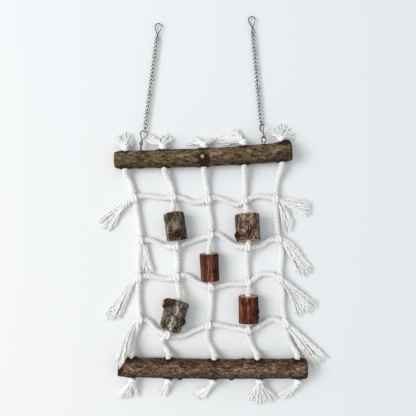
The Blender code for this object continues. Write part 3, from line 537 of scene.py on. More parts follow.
# Bands of painted light and shade across the bottom bar: where across it, how wide and how strong.
bottom_painted_light_bands = [(0.15, 0.3, 0.3), (-0.8, 0.3, -0.5), (0.85, 0.2, -0.3)]
bottom_holes = rope_drillings(BOTTOM_BAR, BOTTOM_HOLES, -1)
bottom_bar = bar_log(
    "bottom_bar_bark", BOTTOM_BAR, (1.02, 1.0), bottom_holes, buds, 11.0, bottom_stains, bottom_painted_light_bands)
points = read_points(bottom_bar)
tip = BOTTOM_BAR[0, 0]
slanted = np.maximum(tip, SLANT_TOP[0] - (points[:, 1:] - SLANT_TOP[1:]) @ SLANT[1:] / SLANT[0])
on_end = points[:, 0] < tip + END_FACE
squeezed = points[:, 0] < SLANT_END
points[squeezed, 0] = (slanted + (points[:, 0] - tip) * (SLANT_END - slanted) / (SLANT_END - tip))[squeezed]
write_points(bottom_bar, points)
for word, value in (("sawn", 0.0), ("rim", 0.0), ("scar", 1.0), ("groove", 0.75)):
    kept = bottom_bar.data.attributes[word]
    values = np.zeros(len(points), np.float32)
    kept.data.foreach_get("value", values)
    kept.data.foreach_set("value", np.where(on_end, value, values).astype(np.float32))
bottom_bar.data.update()
bottom_bar.data.materials.append(bark_finish(
    "bottom_bar_bark", "X", 2.0, (0.020, 0.009, 0.005), (0.126, 0.069, 0.039), (0.41, 0.275, 0.19),
    (0.145, 0.094, 0.050), (0.058, 0.011, 0.005)))
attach(bottom_bar, "lower_net")
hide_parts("bottom_bar")

# Beads: short lengths of five different branches, sawn off by hand so that their ends lean a little, and
# bored along the pith for the rope that carries them. Each keeps its bark and its twig scars.
BEAD_GAP = 0.3
BEAD_RINGS = 56
BEAD_AROUND = 108
BORE_REACH = 0.6
BEAD_WEAR = 0.08
BEAD_ROUND = 0.05
LEAN_REACH = 0.3
# Places and sizes are in mm. Each twig: how far down the bead, which way it faces, its size, how far it
# stands out, the size of its sawn stub and how dark it is.
# Each bead's bands are painted light and shade, some of them painted highlight streaks: where across it, how
# wide and how strong.
BEADS = {
    "bead_1": {
        "top": (-50.4, -4.1), "bottom": (-45.3, -39.0), "radius": 13.2, "lean": (0.22, 0.04),
        "relief": 0.7, "flare": (1.0, 1.02), "streak": 2.4, "cracks": DARK_CRACKS,
        "painted_light_bands": [(-0.75, 0.25, 0.4), (0.05, 0.3, 0.35), (0.9, 0.3, -0.7), (-0.4, 0.15, -0.3)],
        "twigs": [(0.76, (0.1, 0.0, 1.0), 5.0, 0.9, 0.0, 1.0), (0.35, (-0.75, 0.0, 0.6), 3.0, 0.8, 0.0, 0.5)],
        "stains": [((3.0, -9.5, 12.5), (5.5, 6.0, 5.0), 1.0), ((9.0, -13.5, 8.0), (4.5, 5.0, 7.0), 0.9),
                   ((-4.0, -14.5, 11.0), (6.0, 3.0, 6.0), 0.8), ((-2.0, -10.5, 12.5), (9.0, 4.0, 5.0), 0.9),
                   ((4.5, -5.0, 12.0), (5.5, 2.5, 4.0), 0.8), ((-6.0, -5.5, 11.5), (3.0, 2.2, 4.0), 0.7)],
        "bark": ((0.023, 0.017, 0.010), (0.182, 0.135, 0.091), (0.598, 0.481, 0.351), (0.234, 0.189, 0.121),
                 (0.072, 0.016, 0.007)),
    },
    "bead_2": {
        "top": (46.5, -5.3), "bottom": (48.7, -40.0), "radius": 15.8, "lean": (0.17, -0.20),
        "relief": 0.65, "flare": (1.0, 1.0), "streak": 2.0, "cracks": DARK_CRACKS,
        "painted_light_bands": [(-0.95, 0.2, -0.5), (0.55, 0.3, 0.3), (0.98, 0.2, -0.6), (-0.3, 0.2, 0.2)],
        "twigs": [(0.80, (-0.9, 0.0, 0.42), 7.0, 3.0, 0.0, 1.0)],
        "stains": [((1.0, -6.5, 15.5), (3.5, 6.5, 4.0), 0.95), ((-3.5, 7.0, 15.0), (4.0, 4.0, 4.0), 0.7),
                   ((5.0, 1.0, 15.0), (3.5, 3.5, 4.0), 0.6), ((-5.0, -12.0, 13.0), (6.0, 3.5, 5.0), 0.8),
                   ((-9.0, 3.0, 12.0), (3.0, 5.0, 5.0), 0.6)],
        "bark": ((0.034, 0.018, 0.010), (0.234, 0.148, 0.096), (0.676, 0.520, 0.377), (0.273, 0.208, 0.137),
                 (0.078, 0.013, 0.008)),
    },
    "bead_3": {
        "top": (-3.5, -57.2), "bottom": (-1.8, -92.8), "radius": 12.2, "lean": (-0.05, 0.08),
        "relief": 0.3, "flare": (1.02, 0.99), "streak": 9.0, "cracks": PALE_CRACKS,
        "painted_light_bands": [(-0.95, 0.2, 0.3), (-0.55, 0.2, -0.3), (-0.1, 0.14, 0.35), (0.25, 0.13, 0.55),
                  (0.85, 0.35, -0.7)],
        "twigs": [(0.62, (0.62, 0.0, 0.8), 4.5, 0.7, 0.0, 0.3)],
        "stains": [((7.0, -3.5, 9.5), (3.5, 3.0, 4.0), 1.0), ((8.0, -6.5, 8.0), (2.0, 4.0, 4.0), 1.0)],
        "bark": ((0.022, 0.005, 0.002), (0.115, 0.031, 0.014), (0.38, 0.15, 0.085), (0.155, 0.050, 0.027),
                 (0.012, 0.006, 0.004)),
    },
    "bead_4": {
        "top": (-44.0, -120.1), "bottom": (-54.8, -156.3), "radius": 14.0, "lean": (0.27, 0.06),
        "relief": 0.8, "flare": (1.09, 1.0), "streak": 1.8, "cracks": DARK_CRACKS,
        "painted_light_bands": [(-0.65, 0.35, -0.4), (-0.1, 0.25, 0.5), (0.65, 0.35, -0.5), (0.3, 0.12, 0.3)],
        "twigs": [(0.20, (-0.92, 0.3, 0.35), 8.5, 4.2, 3.6, 1.0),
                  (0.72, (0.93, 0.0, 0.4), 6.5, 3.2, 0.0, 0.85)],
        "stains": [((-3.0, 15.0, 12.5), (6.0, 3.5, 5.0), 0.8), ((-7.0, 9.0, 11.0), (4.0, 5.0, 6.0), 0.7),
                   ((3.0, -14.0, 12.0), (5.0, 3.0, 5.0), 0.7)],
        "bark": ((0.029, 0.021, 0.014), (0.260, 0.208, 0.159), (0.780, 0.676, 0.546), (0.312, 0.260, 0.189),
                 (0.058, 0.016, 0.008)),
    },
    "bead_5": {
        "top": (48.7, -113.3), "bottom": (49.3, -149.6), "radius": 13.0, "lean": (-0.06, -0.11),
        "relief": 0.4, "flare": (1.0, 1.0), "streak": 9.0, "cracks": PALE_CRACKS,
        "painted_light_bands": [(-0.82, 0.14, 0.6), (-0.5, 0.14, -0.7), (-0.15, 0.12, 0.95), (0.13, 0.13, -0.6),
                  (0.42, 0.1, 0.6), (0.85, 0.3, -1.0)],
        "twigs": [(0.55, (0.95, 0.0, 0.3), 4.0, 1.4, 0.0, 0.4),
                  (0.75, (0.93, 0.0, 0.35), 3.5, 1.1, 0.0, 0.4)],
        "stains": [((6.0, -6.0, 11.0), (3.0, 4.0, 4.0), 0.6), ((-4.0, 10.0, 11.5), (5.0, 3.0, 4.0), 0.5),
                   ((2.0, -13.0, 12.0), (4.0, 2.5, 4.0), 0.5)],
        "bark": ((0.022, 0.004, 0.001), (0.118, 0.024, 0.009), (0.38, 0.125, 0.055), (0.145, 0.036, 0.015),
                 (0.02, 0.006, 0.003)),
    },
}


def bead_axis(name):
    """Middles of a bead's top and bottom faces, as it lies on the ground."""
    facts = BEADS[name]
    z = facts["radius"] + BEAD_GAP
    return np.array([*facts["top"], z]) * MM, np.array([*facts["bottom"], z]) * MM


for seed, (name, facts) in enumerate(BEADS.items()):
    top, bottom = bead_axis(name)
    middle = (top + bottom) / 2
    length = np.linalg.norm(bottom - top)
    ahead = unit(bottom - top)
    radius = facts["radius"] * MM
    share = np.linspace(0.0, 1.0, BEAD_RINGS)
    axis = top + np.outer(share, bottom - top)
    wear_and_shade = np.maximum(0.0, 1.0 - np.minimum(share, 1 - share) / BEAD_WEAR)
    radii = radius * (np.linspace(*facts["flare"], BEAD_RINGS) * (1.0 - BEAD_ROUND * wear_and_shade ** 2))
    bore = [(middle, ahead, ROPE_HOLE, BORE_REACH * length)]
    bead = drill(log(f"{name}_bark", axis, radii, BEAD_AROUND), bore)
    twigs = []
    for at, facing, size, swell, stub, dark in facts["twigs"]:
        spot = top + at * (bottom - top) + radius * unit(np.array(facing))
        twigs.append((spot, size * MM, swell * MM, stub * MM, dark))
    stains = stains_from(middle, facts["stains"])
    weather(bead, axis, radii, bore, twigs, facts["relief"] * MM, 20.0 + 7 * seed, stains, facts["painted_light_bands"])
    points = read_points(bead)
    along = (points - top) @ ahead / length
    high = points[:, 2] - top[2]
    points -= np.outer(high * facts["lean"][0] * fade(along, 0.0, LEAN_REACH), ahead)
    points += np.outer(high * facts["lean"][1] * fade(1.0 - along, 0.0, LEAN_REACH), ahead)
    write_points(bead, points)
    bark = bark_finish(f"{name}_bark", "Y", facts["streak"], *facts["bark"], cracks=facts["cracks"])
    bead.data.materials.append(bark)
    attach(bead, name)
    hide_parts(name)

# Upright ropes: five lengths of three-strand cotton rope, laid left-handed and about 7 mm thick. Each runs
# from a knot above the top bar through the holes and beads to a knot below the bottom bar, and its
# strands part where a cross rope is threaded through.
ROPE = 3.85 * MM
LAY = 13.5 * MM
ROPE_STEP = 0.8 * MM
STRAND = 0.5 * ROPE
STRAND_OUT = 0.52 * ROPE
STRAND_AROUND = 18
RIBS = 6
RIB_HEIGHT = 0.055
RIB_TURN = 8 * MM
EYE_HALF = 9.5 * MM
EYE_SPREAD = 2.0 * MM
EYE_BULK = 0.22
NIPPED = 2.45 * MM
SAG = 0.45
KNOT_REACH = 6.8 * MM
KNOT_GAP = 0.3 * MM
KNOT_NIP = 0.45
KNOT_NIP_REACH = 2.2 * KNOT_REACH
KNOT_TAIL = 3 * MM
HOLE_LEAD = 5.0 * MM
EYE_GRIP = 0.92
GROUND_ROOM = 1.06
GROUND_LIFT = 0.1 * MM
GROOVE_SHADE_FROM = 0.92
GROOVE_SHADE_DEPTH = 0.34
# Heights in mm: a rope's middle on the ground and in an eye, and how far below a bead's middle it leaves it.
REST = 4.4
EYE_HEIGHT = 6.3
BELOW_BEAD = 2.5
CROSSINGS = [
    [(-102.7, 16.7), (-50.8, 16.9), (-4.7, 14.7), (44.0, 11.3), (85.3, 15.3)],
    [(-94.7, -40.7), (-46.6, -47.2), (-1.3, -32.7), (47.7, -47.8), (89.3, -38.0)],
    [(-96.9, -90.0), (-46.3, -90.0), (-0.7, -101.0), (48.7, -97.3), (91.3, -91.3)],
    [(-95.6, -146.0), (-58.3, -164.5), (-4.0, -153.3), (48.3, -158.5), (99.3, -152.7)],
]
UNDER_BEADS = {(1, 1): "bead_1", (1, 3): "bead_2", (2, 2): "bead_3", (3, 1): "bead_4", (3, 3): "bead_5"}
# Each upright rope: free points in mm, rows of cross ropes by number and beads by name, from the top down.
UPRIGHTS = [
    [(-109.3, 39.3), 0, (-100.0, 1.0), (-96.7, -19.3), 1, (-97.1, -66.0), 2, (-98.1, -106.0),
     (-97.6, -122.0), 3, (-101.5, -164.0), (-105.0, -179.0)],
    [(-53.3, 32.0), 0, "bead_1", 1, (-45.1, -68.0), 2, "bead_4", 3, (-66.1, -175.0), (-61.5, -184.0)],
    [(-6.0, 30.0), 0, (-2.7, -2.0), (-0.4, -16.0), 1, "bead_3", 2, (0.0, -118.0), (-1.3, -134.0), 3,
     (-5.7, -170.0), (-0.4, -184.0)],
    [(45.1, 29.0), 0, "bead_2", 1, (47.1, -71.3), 2, "bead_5", 3, (52.0, -174.0), (56.4, -186.0)],
    [(88.8, 42.0), (86.7, 31.3), 0, (86.3, -3.0), (87.3, -20.0), 1, (94.0, -56.0), (92.9, -74.0), 2,
     (95.0, -108.0), (95.5, -130.0), 3, (102.0, -168.0), (108.1, -182.0)],
]


def crossing(row, column):
    """Where a cross rope goes through an upright rope; beads hold some of these places up."""
    z = EYE_HEIGHT
    if (row, column) in UNDER_BEADS:
        z = max(z, BEADS[UNDER_BEADS[row, column]]["radius"] + BEAD_GAP - BELOW_BEAD)
    return np.array([*CROSSINGS[row][column], z]) * MM


def settled(point):
    """A free rope point: on the ground, or higher beside a bead."""
    z = REST * MM
    for row, column in UNDER_BEADS:
        held = crossing(row, column)
        z = max(z, held[2] - SAG * np.linalg.norm(np.array(point) * MM - held[:2]))
    return np.array([*(np.array(point) * MM), z])


def knot_middle(bar, xs, outward):
    """Middle of the knot outside a bar, and the direction in which its rope leaves the net."""
    middle, direction, radius = rope_hole(bar, xs, outward)
    return middle + direction * (radius + KNOT_GAP + KNOT_REACH), direction


def upright_route(column):
    """The line of an upright rope from its top knot to its bottom knot."""
    middle, out, radius = rope_hole(TOP_BAR, TOP_HOLES[column], 1)
    knot, _ = knot_middle(TOP_BAR, TOP_HOLES[column], 1)
    route = [knot + out * KNOT_TAIL, knot, middle + out * radius, middle, middle - out * radius]
    route.append(middle - out * (radius + HOLE_LEAD))
    for item in UPRIGHTS[column]:
        if isinstance(item, int):
            route.append(crossing(item, column))
        elif isinstance(item, str):
            top, bottom = bead_axis(item)
            ahead = unit(bottom - top)
            route += [top - ahead * HOLE_LEAD, top, (top + bottom) / 2, bottom]
            route.append(bottom + ahead * HOLE_LEAD / 2)
        else:
            route.append(settled(item))
    middle, out, radius = rope_hole(BOTTOM_BAR, BOTTOM_HOLES[column], -1)
    knot, _ = knot_middle(BOTTOM_BAR, BOTTOM_HOLES[column], -1)
    route += [middle - out * (radius + HOLE_LEAD), middle - out * radius, middle, middle + out * radius]
    return smooth_line(route + [knot, knot + out * KNOT_TAIL])


def skin(line, radii, sides, reference=UP, closed=False, ribs=0, rib_turn=None):
    """A round skin along a line; ribs are shallow and wind along it."""
    side, up = directions(line, reference, closed)
    turn = np.linspace(0.0, 2 * math.pi, sides, endpoint=False)[None, :]
    size = np.broadcast_to(np.asarray(radii, float).reshape(-1, 1), (len(line), sides))
    if ribs:
        size = size * (1.0 + RIB_HEIGHT * np.cos(ribs * turn + rib_turn[:, None]))
    rings = line[:, None] + size[..., None] * (
        np.cos(turn)[..., None] * side[:, None] + np.sin(turn)[..., None] * up[:, None])
    faces = ring_faces(len(line), sides, closed)
    if not closed:
        faces.append(list(range(sides))[::-1])
        faces.append([(len(line) - 1) * sides + j for j in range(sides)])
    return rings.reshape(-1, 3), faces


def piece_of(name, skins, finish):
    """One piece made of several skins, each with how much its colour is darkened: painted shade on some, a
    plain darker tone on others.
    """
    verts = []
    faces = []
    shades = []
    count = 0
    for points, quads, shade in skins:
        verts.append(points)
        shades.append(np.broadcast_to(shade, len(points)))
        faces += [[v + count for v in quad] for quad in quads]
        count += len(points)
    made = put(name, np.vstack(verts), faces)
    paint(made, "groove", np.concatenate(shades))
    made.data.shade_smooth()
    made.data.set_sharp_from_angle(angle=math.radians(60.0))
    made.data.materials.append(finish)
    return made


def bell(share):
    """One at nought, falling smoothly to nothing at plus and minus one."""
    return np.where(np.abs(share) < 1.0, np.cos(np.clip(share, -1, 1) * math.pi / 2) ** 2, 0.0)


def laid_rope(route, eyes=(), nips=()):
    """Three strands twisted along a route; they part at the eyes and are pressed together at the nips."""
    line, run = spaced(route, ROPE_STEP)
    side, up = directions(line)
    tight = np.ones(len(line))
    for spot, share, reach in nips:
        at = run[np.argmin(np.linalg.norm(line - spot, axis=1))]
        tight = np.minimum(tight, 1.0 - (1.0 - share) * bell((run - at) / reach))
    turns = [2 * math.pi * (k / 3 - run / LAY) for k in range(3)]
    across = [STRAND_OUT * tight * np.cos(turn) for turn in turns]
    height = [STRAND_OUT * tight * np.sin(turn) for turn in turns]
    thick = STRAND * tight
    bulk = np.ones(len(line))
    for spot in eyes:
        i = np.argmin(np.linalg.norm(line - spot, axis=1))
        part = bell((run - run[i]) / EYE_HALF)
        bulk = np.maximum(bulk, 1.0 + EYE_BULK * part)
        under, *over = sorted(range(3), key=lambda k: math.sin(turns[k][i]))
        over.sort(key=lambda k: math.cos(turns[k][i]))
        for k, place, sign in ((over[0], -EYE_SPREAD, 1.0), (over[1], EYE_SPREAD, 1.0), (under, 0.0, -1.0)):
            across[k] = across[k] * (1 - part) + place * part
            height[k] = height[k] * (1 - part) + sign * (NIPPED + EYE_GRIP * thick[i]) * part
    skins = []
    for k in range(3):
        strand = line + across[k][:, None] * side + height[k][:, None] * up
        strand[:, 2] = np.maximum(strand[:, 2], GROUND_ROOM * thick * bulk + GROUND_LIFT)
        rib_turn = run * (2 * math.pi / RIB_TURN) + k
        points, faces = skin(strand, thick * bulk, STRAND_AROUND, ribs=RIBS, rib_turn=rib_turn)
        # Painted shade: each strand is darker the nearer it lies to the rope's middle, in the grooves between
        # strands.
        off = np.linalg.norm(points.reshape(len(line), -1, 3) - line[:, None], axis=2)
        off = off / (ROPE * tight[:, None])
        skins.append((points, faces, np.clip((GROOVE_SHADE_FROM - off) / GROOVE_SHADE_DEPTH, 0.0, 1.0).ravel()))
    return skins


def cotton_finish(name, fuzz, pale, deep, soak):
    """Soft undyed cotton: off-white, dull, with fine fibres that stand out as fuzz."""
    finish, tree, shader, spot = blank_finish(name)

    def fibres(scale, detail):
        return speckle(tree, spot, scale, detail, 0.65)

    low, high = [(shade, shade, 0.97 * shade) for shade in pale]
    tone = ramp(tree, fibres(700, 5), (0.3, low), (0.65, high))
    plug(tree, shader, {
        # The groove layer darkens the colour towards deep: painted shade in a rope's strand grooves, a random
        # tone on loose yarns.
        "Base Color": mixed(tree, layer(tree, "groove"), tone, (deep, deep, 0.94 * deep)),
        "Roughness": ranged(tree, fibres(1600, 3), 0.8, 1.0),
        "Specular IOR Level": 0.15,
        "Sheen Weight": fuzz,
        "Subsurface Weight": soak,
        "Subsurface Radius": (1.0, 1.0, 0.95),
        "Subsurface Scale": 0.0012,
        "Normal": bumps(tree, fibres(2600, 6), 0.35, 0.0003),
    })
    return finish


COTTON = cotton_finish("cotton", 0.1, (0.86, 0.97), 0.5, 0.4)
for column in range(len(UPRIGHTS)):
    eyes = [crossing(row, column) for row in range(len(CROSSINGS))]
    nips = []
    for bar, holes, sign in ((TOP_BAR, TOP_HOLES, 1), (BOTTOM_BAR, BOTTOM_HOLES, -1)):
        nips.append((knot_middle(bar, holes[column], sign)[0], KNOT_NIP, KNOT_NIP_REACH))
    rope = piece_of(f"upright_rope_{column + 1}", laid_rope(upright_route(column), eyes, nips), COTTON)
    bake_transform(rope)
    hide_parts(*(f"upright_rope_{column + 1}_{stretch}" for stretch in ("upper", "fold", "lower")))

# Cross ropes: four lengths of the same rope, threaded through the lay of the upright ropes, where the
# parted strands grip them and press them thin.
CROSS_ROPES = [
    [0, (-91.5, 19.9), (-82.0, 19.3), (-65.0, 17.0), 1, (-39.0, 16.7), (-26.0, 11.3), (-15.0, 11.5), 2,
     (7.0, 17.5), (20.0, 12.7), (33.0, 8.0), 3, (54.0, 17.5), (63.3, 19.3), (73.5, 18.3), 4],
    [0, (-82.0, -39.3), (-70.0, -44.7), (-61.0, -47.9), 1, (-38.0, -44.7), (-26.0, -40.7), (-12.5, -36.4), 2,
     (9.0, -32.0), (20.0, -39.3), (33.0, -47.6), 3, (59.0, -47.9), (67.0, -46.8), (76.1, -40.0), 4],
    [0, (-85.0, -87.5), (-75.3, -89.3), (-60.0, -92.0), 1, (-35.5, -86.3), (-28.0, -89.5), (-17.0, -97.0), 2,
     (13.0, -100.8), (25.0, -98.0), (38.0, -98.5), 3, (58.0, -91.0), (66.5, -85.2), (78.7, -85.2), 4],
    [0, (-85.5, -147.0), (-78.0, -154.6), (-72.0, -161.0), 1, (-47.0, -168.0), (-36.0, -167.0),
     (-26.0, -162.0), (-15.0, -157.5), 2, (8.0, -153.0), (29.3, -157.5), 3, (58.5, -157.2), (71.3, -150.0),
     (83.0, -145.3), 4],
]
LEFT_OUT = [(-0.83, -0.56), (0.65, -0.76), (-0.85, -0.53), (-0.95, -0.31)]
RIGHT_OUT = [(0.95, -0.30), (0.97, -0.20), (0.88, -0.47), (0.88, -0.47)]
LEFT_REACH = [23.0, 7.0, 7.0, 7.0]
RIGHT_REACH = [7.0, 7.0, 7.0, 7.0]
END_HEIGHT = 5.2 * MM
TURN_BACK = [(-3.2, -4.6, -1.2), (-4.2, -0.8, 0.0)]
NIP_REACH = 7.5 * MM
LAST_UPRIGHT = len(UPRIGHTS) - 1


def outward(direction):
    """A flat direction as a vector of length one."""
    return unit(np.array([*direction, 0.0]))


def cross_end(row, column, outs, reaches):
    """Where a cross rope stops being twisted, outside an outer upright rope."""
    end = crossing(row, column) + outward(outs[row]) * reaches[row] * MM
    end[2] = END_HEIGHT
    return end


def cross_route(row):
    """The line of a cross rope from one end to the other; one end turns back round its upright rope."""
    route = [cross_end(row, 0, LEFT_OUT, LEFT_REACH)]
    if LEFT_OUT[row][0] > 0:
        route += [crossing(row, 0) + np.array(bend) * MM for bend in TURN_BACK]
    for item in CROSS_ROPES[row]:
        route.append(crossing(row, item) if isinstance(item, int) else settled(item))
    route.append(cross_end(row, LAST_UPRIGHT, RIGHT_OUT, RIGHT_REACH))
    return smooth_line(route)


for row in range(len(CROSS_ROPES)):
    nips = [(crossing(row, column), NIPPED / ROPE, NIP_REACH) for column in range(len(UPRIGHTS))]
    rope = piece_of(f"cross_rope_{row + 1}", laid_rope(cross_route(row), nips=nips), COTTON)
    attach(rope, "upper_net" if row < 2 else "lower_net")
    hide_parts(f"cross_rope_{row + 1}")

# Knots and frayed ends: outside each bar the upright ropes are stopped by a tight knot. Every rope end, also
# those of the cross ropes beside the outer upright ropes, is untwisted into loose wavy yarns.
YARN = 0.46 * MM
YARN_STEP = 1.1 * MM
YARN_AROUND = 6
YARN_POINTS = 40
PLY_TURN = 6.0 * MM
YARNS_PER_LOCK = 3
LOCK_SPREAD = 0.35 * MM
TIP_SPREAD = 0.6 * MM
TIP_RISE = 3.6
TIP_REACH = (0.9, 1.06)
EDGE_STEP = 0.5 * MM
LEAP = (0.24, 0.36)
CURL_LENGTH = (8.0, 14.0)
CURL_HEIGHT = 0.5 * MM
ANY_TURN = 6.28
FLOOR_GAP = 0.4 * MM
KNOT_WRAP = 3.5 * MM
KNOT_STRAND = 2.3 * MM
KNOT_POINTS = 48
KNOT_AROUND = 16
KNOT_WAVE = 0.12
KNOT_RIB_TURNS = 8
KNOT_TURNS = [(0.42, -0.25, 1.0), (-0.36, 0.3, 0.93)]
KNOT_SEAT = 2.9
KNOT_FRAY = (2.0, 3.4 * MM)
CROSS_FRAY = (-3.0, 5.5 * MM)
# Each bunch of yarns: its locks, the way it sets out, how high its ends lie and the line of its ends, in mm.
TOP_FANS = [
    [(12, None, 0, [(-132.0, 88.0), (-130.5, 96.5), (-122.5, 102.0), (-115.5, 104.8), (-107.0, 101.5),
                    (-104.0, 88.0)])],
    [(6, None, 0, [(-91.0, 91.5), (-89.0, 99.0), (-84.0, 102.0), (-77.0, 100.5)]),
     (6, None, 0, [(-71.0, 97.5), (-61.0, 102.5), (-54.0, 100.5), (-51.5, 94.5)])],
    [(6, None, 0, [(-34.0, 86.5), (-30.0, 93.0), (-24.5, 98.5), (-17.0, 97.5)]),
     (7, None, 0, [(-11.0, 95.5), (-3.5, 97.5), (3.0, 98.0), (10.0, 95.5), (5.0, 91.0)])],
    [(7, (-0.72, 0.69), 0, [(15.0, 102.0), (8.0, 100.0), (3.5, 95.0), (6.0, 90.5), (13.0, 88.0)]),
     (6, (-0.45, 0.9), 0, [(26.5, 106.0), (30.0, 110.0), (35.0, 109.0), (39.5, 103.5)])],
    [(13, None, 0, [(73.5, 103.5), (76.5, 110.5), (86.5, 115.0), (95.0, 117.0), (105.0, 110.0),
                    (110.5, 98.0), (109.5, 92.0)])],
]
BOTTOM_FANS = [
    [(12, (-0.35, -0.94), 0, [(-126.9, -243.5), (-124.5, -249.5), (-116.0, -251.8), (-108.0, -250.0)]),
     (2, (0.1, -1.0), 0, [(-101.0, -250.5), (-97.5, -251.0)])],
    [(11, (-0.25, -0.97), 0, [(-73.8, -243.0), (-70.0, -247.5), (-64.2, -249.5), (-58.5, -245.5)])],
    [(12, (-0.5, -0.87), 0, [(-24.0, -243.0), (-23.5, -250.0), (-15.5, -253.5), (-7.5, -250.5)])],
    [(15, None, 0, [(46.0, -248.5), (50.6, -257.0), (61.0, -259.8), (74.0, -259.0), (83.0, -255.0),
                    (88.5, -249.5)])],
    [(12, (-0.4, -0.92), 0, [(88.5, -246.5), (93.0, -252.5), (101.0, -252.5), (106.5, -247.0)])],
]
LEFT_FANS = [
    [(13, (-0.83, -0.56), 0, [(-153.2, -10.5), (-152.0, -17.0), (-146.5, -23.5),
                             (-139.5, -27.5), (-132.0, -22.0)])],
    [(13, (0.25, -0.97), 0, [(-92.5, -80.5), (-89.0, -83.5), (-83.0, -84.5), (-76.0, -81.5)])],
    [(14, (-0.9, -0.3), 0, [(-143.0, -138.8), (-141.5, -144.0), (-134.5, -145.5),
                            (-127.0, -144.5), (-119.0, -140.5)])],
    [(16, (-1.0, -0.12), 21.0, [(-127.0, -195.0), (-124.0, -200.0), (-119.5, -202.5), (-114.5, -199.0)])],
]
RIGHT_FANS = [
    [(6, (0.98, -0.02), 0, [(132.0, 12.5), (133.5, 7.0), (133.0, 2.5)]),
     (7, (0.75, -0.66), 0, [(133.0, 2.0), (131.5, -3.0), (127.5, -7.5)]),
     (7, (0.6, -0.8), 0, [(111.0, -14.0), (108.5, -23.0), (103.0, -27.5), (96.5, -29.0)])],
    [(9, (0.98, -0.05), 0, [(135.2, -74.5), (133.3, -81.5), (129.0, -85.5)]),
     (6, (0.75, -0.66), 0, [(127.0, -86.0), (122.0, -87.5), (116.0, -85.0)])],
    [(14, (0.85, -0.52), 0, [(140.5, -121.5), (139.5, -127.0), (133.0, -134.5),
                             (122.8, -139.8), (112.5, -142.5)])],
    [(19, (0.85, -0.53), 0, [(152.5, -194.0), (152.0, -199.0), (146.0, -204.5),
                             (136.0, -209.5), (132.0, -206.0)])],
]
COTTON_YARN = cotton_finish("cotton_yarn", 1.0, (0.94, 0.985), 0.8, 0.0)


def tied_knot(middle, out):
    """Two turns of one strand drawn tight across each other round the direction out."""
    side = unit(np.cross(UP, out))
    up = np.cross(out, side)
    angle = np.linspace(0.0, 2 * math.pi, KNOT_POINTS, endpoint=False)
    turns = []
    for tilt, place, size in KNOT_TURNS:
        rise = KNOT_WRAP * (place + tilt * np.cos(angle)) + KNOT_WAVE * KNOT_WRAP * np.sin(3 * angle)
        line = middle + np.outer(KNOT_WRAP * size * np.cos(angle), side)
        line = line + np.outer(KNOT_WRAP * size * np.sin(angle), up) + np.outer(rise, out)
        turns.append((*skin(line, KNOT_STRAND, KNOT_AROUND, out, True, RIBS, KNOT_RIB_TURNS * angle), 0.0))
    return turns


def yarn_plies(line, chance):
    """One yarn of two plies wound round each other, a little apart at its end."""
    line, run = spaced(line, YARN_STEP)
    share = run / run[-1]
    side, up = directions(line)
    turn = 2 * math.pi * run / PLY_TURN + chance.uniform(0, ANY_TURN)
    apart = YARN * (0.75 + 1.1 * np.maximum(0.0, share - 0.8) / 0.2)
    size = YARN * chance.uniform(0.85, 1.15) * np.interp(share, (0.0, 0.9, 1.0), (1.0, 1.0, 0.5))
    tone = chance.uniform(0.0, 0.06)
    plies = []
    for sign in (1.0, -1.0):
        ply = line + sign * (apart * np.cos(turn))[:, None] * side
        ply = ply + sign * (apart * np.sin(turn))[:, None] * up
        ply[:, 2] = np.maximum(ply[:, 2], FLOOR_GAP + YARN)
        plies.append((*skin(ply, size, YARN_AROUND), tone))
    return plies


def frayed_end(root, out, bunches, spread, seed):
    """Loose yarns that leave the root in bunches and lie down with their ends along each bunch's tips."""
    chance = np.random.RandomState(seed)
    share = np.linspace(0.0, 1.0, YARN_POINTS)[:, None]
    yarns = []
    for locks, heading, rest, tips in bunches:
        edge, edge_run = spaced(smooth_line(np.array([(*tip, 0.0) for tip in tips]) * MM), EDGE_STEP)
        side = unit(np.cross(UP, out if heading is None else outward(heading)))
        side = side * np.sign(side @ (edge[-1] - edge[0]))
        for number in range(locks):
            place = (number + 0.5 + chance.uniform(-0.3, 0.3)) / locks
            tip = np.array([np.interp(place * edge_run[-1], edge_run, edge[:, i]) for i in range(3)])
            start = root + side * (0.9 * (place - 0.5) + chance.normal(0, 0.2)) * spread
            start = start + UP * chance.normal(0, 0.35) * spread
            tip[2] = FLOOR_GAP + YARN + (rest + chance.uniform(0.0, TIP_RISE)) * MM
            aim = unit(tip - start)
            leave = 0.85 * aim + 0.15 * out
            if heading is not None:
                leave = unit(0.5 * aim + 0.5 * outward(heading))
            flat = unit(np.cross(UP, aim))
            length = chance.uniform(*CURL_LENGTH) * MM
            phase = chance.uniform(0, ANY_TURN)
            bow = chance.normal(0, 0.04)
            leap = chance.uniform(*LEAP)
            for _ in range(YARNS_PER_LOCK):
                near = start + chance.normal(0, LOCK_SPREAD, 3)
                far = start + (tip - start) * chance.uniform(*TIP_REACH) + chance.normal(0, TIP_SPREAD, 3)
                span = np.linalg.norm(far - near)
                first = near + leave * span * leap + UP * 0.04 * span
                second = near + (far - near) * 0.7 + flat * span * (bow + chance.normal(0, 0.012))
                second[2] = max(second[2] * 0.6, far[2] + 0.6 * MM)
                line = near * (1 - share) ** 3 + 3 * first * share * (1 - share) ** 2
                line = line + 3 * second * share ** 2 * (1 - share) + far * share ** 3
                swing = 2 * math.pi * share * span / length + phase + chance.normal(0, 0.4)
                wave = CURL_HEIGHT * np.minimum(1.0, 2 * share) * np.sin(swing)
                line = line + flat * wave + UP * 0.5 * np.abs(wave)
                line[:, 2] = np.maximum(line[:, 2], FLOOR_GAP + 2 * YARN)
                yarns += yarn_plies(line, chance)
    return yarns


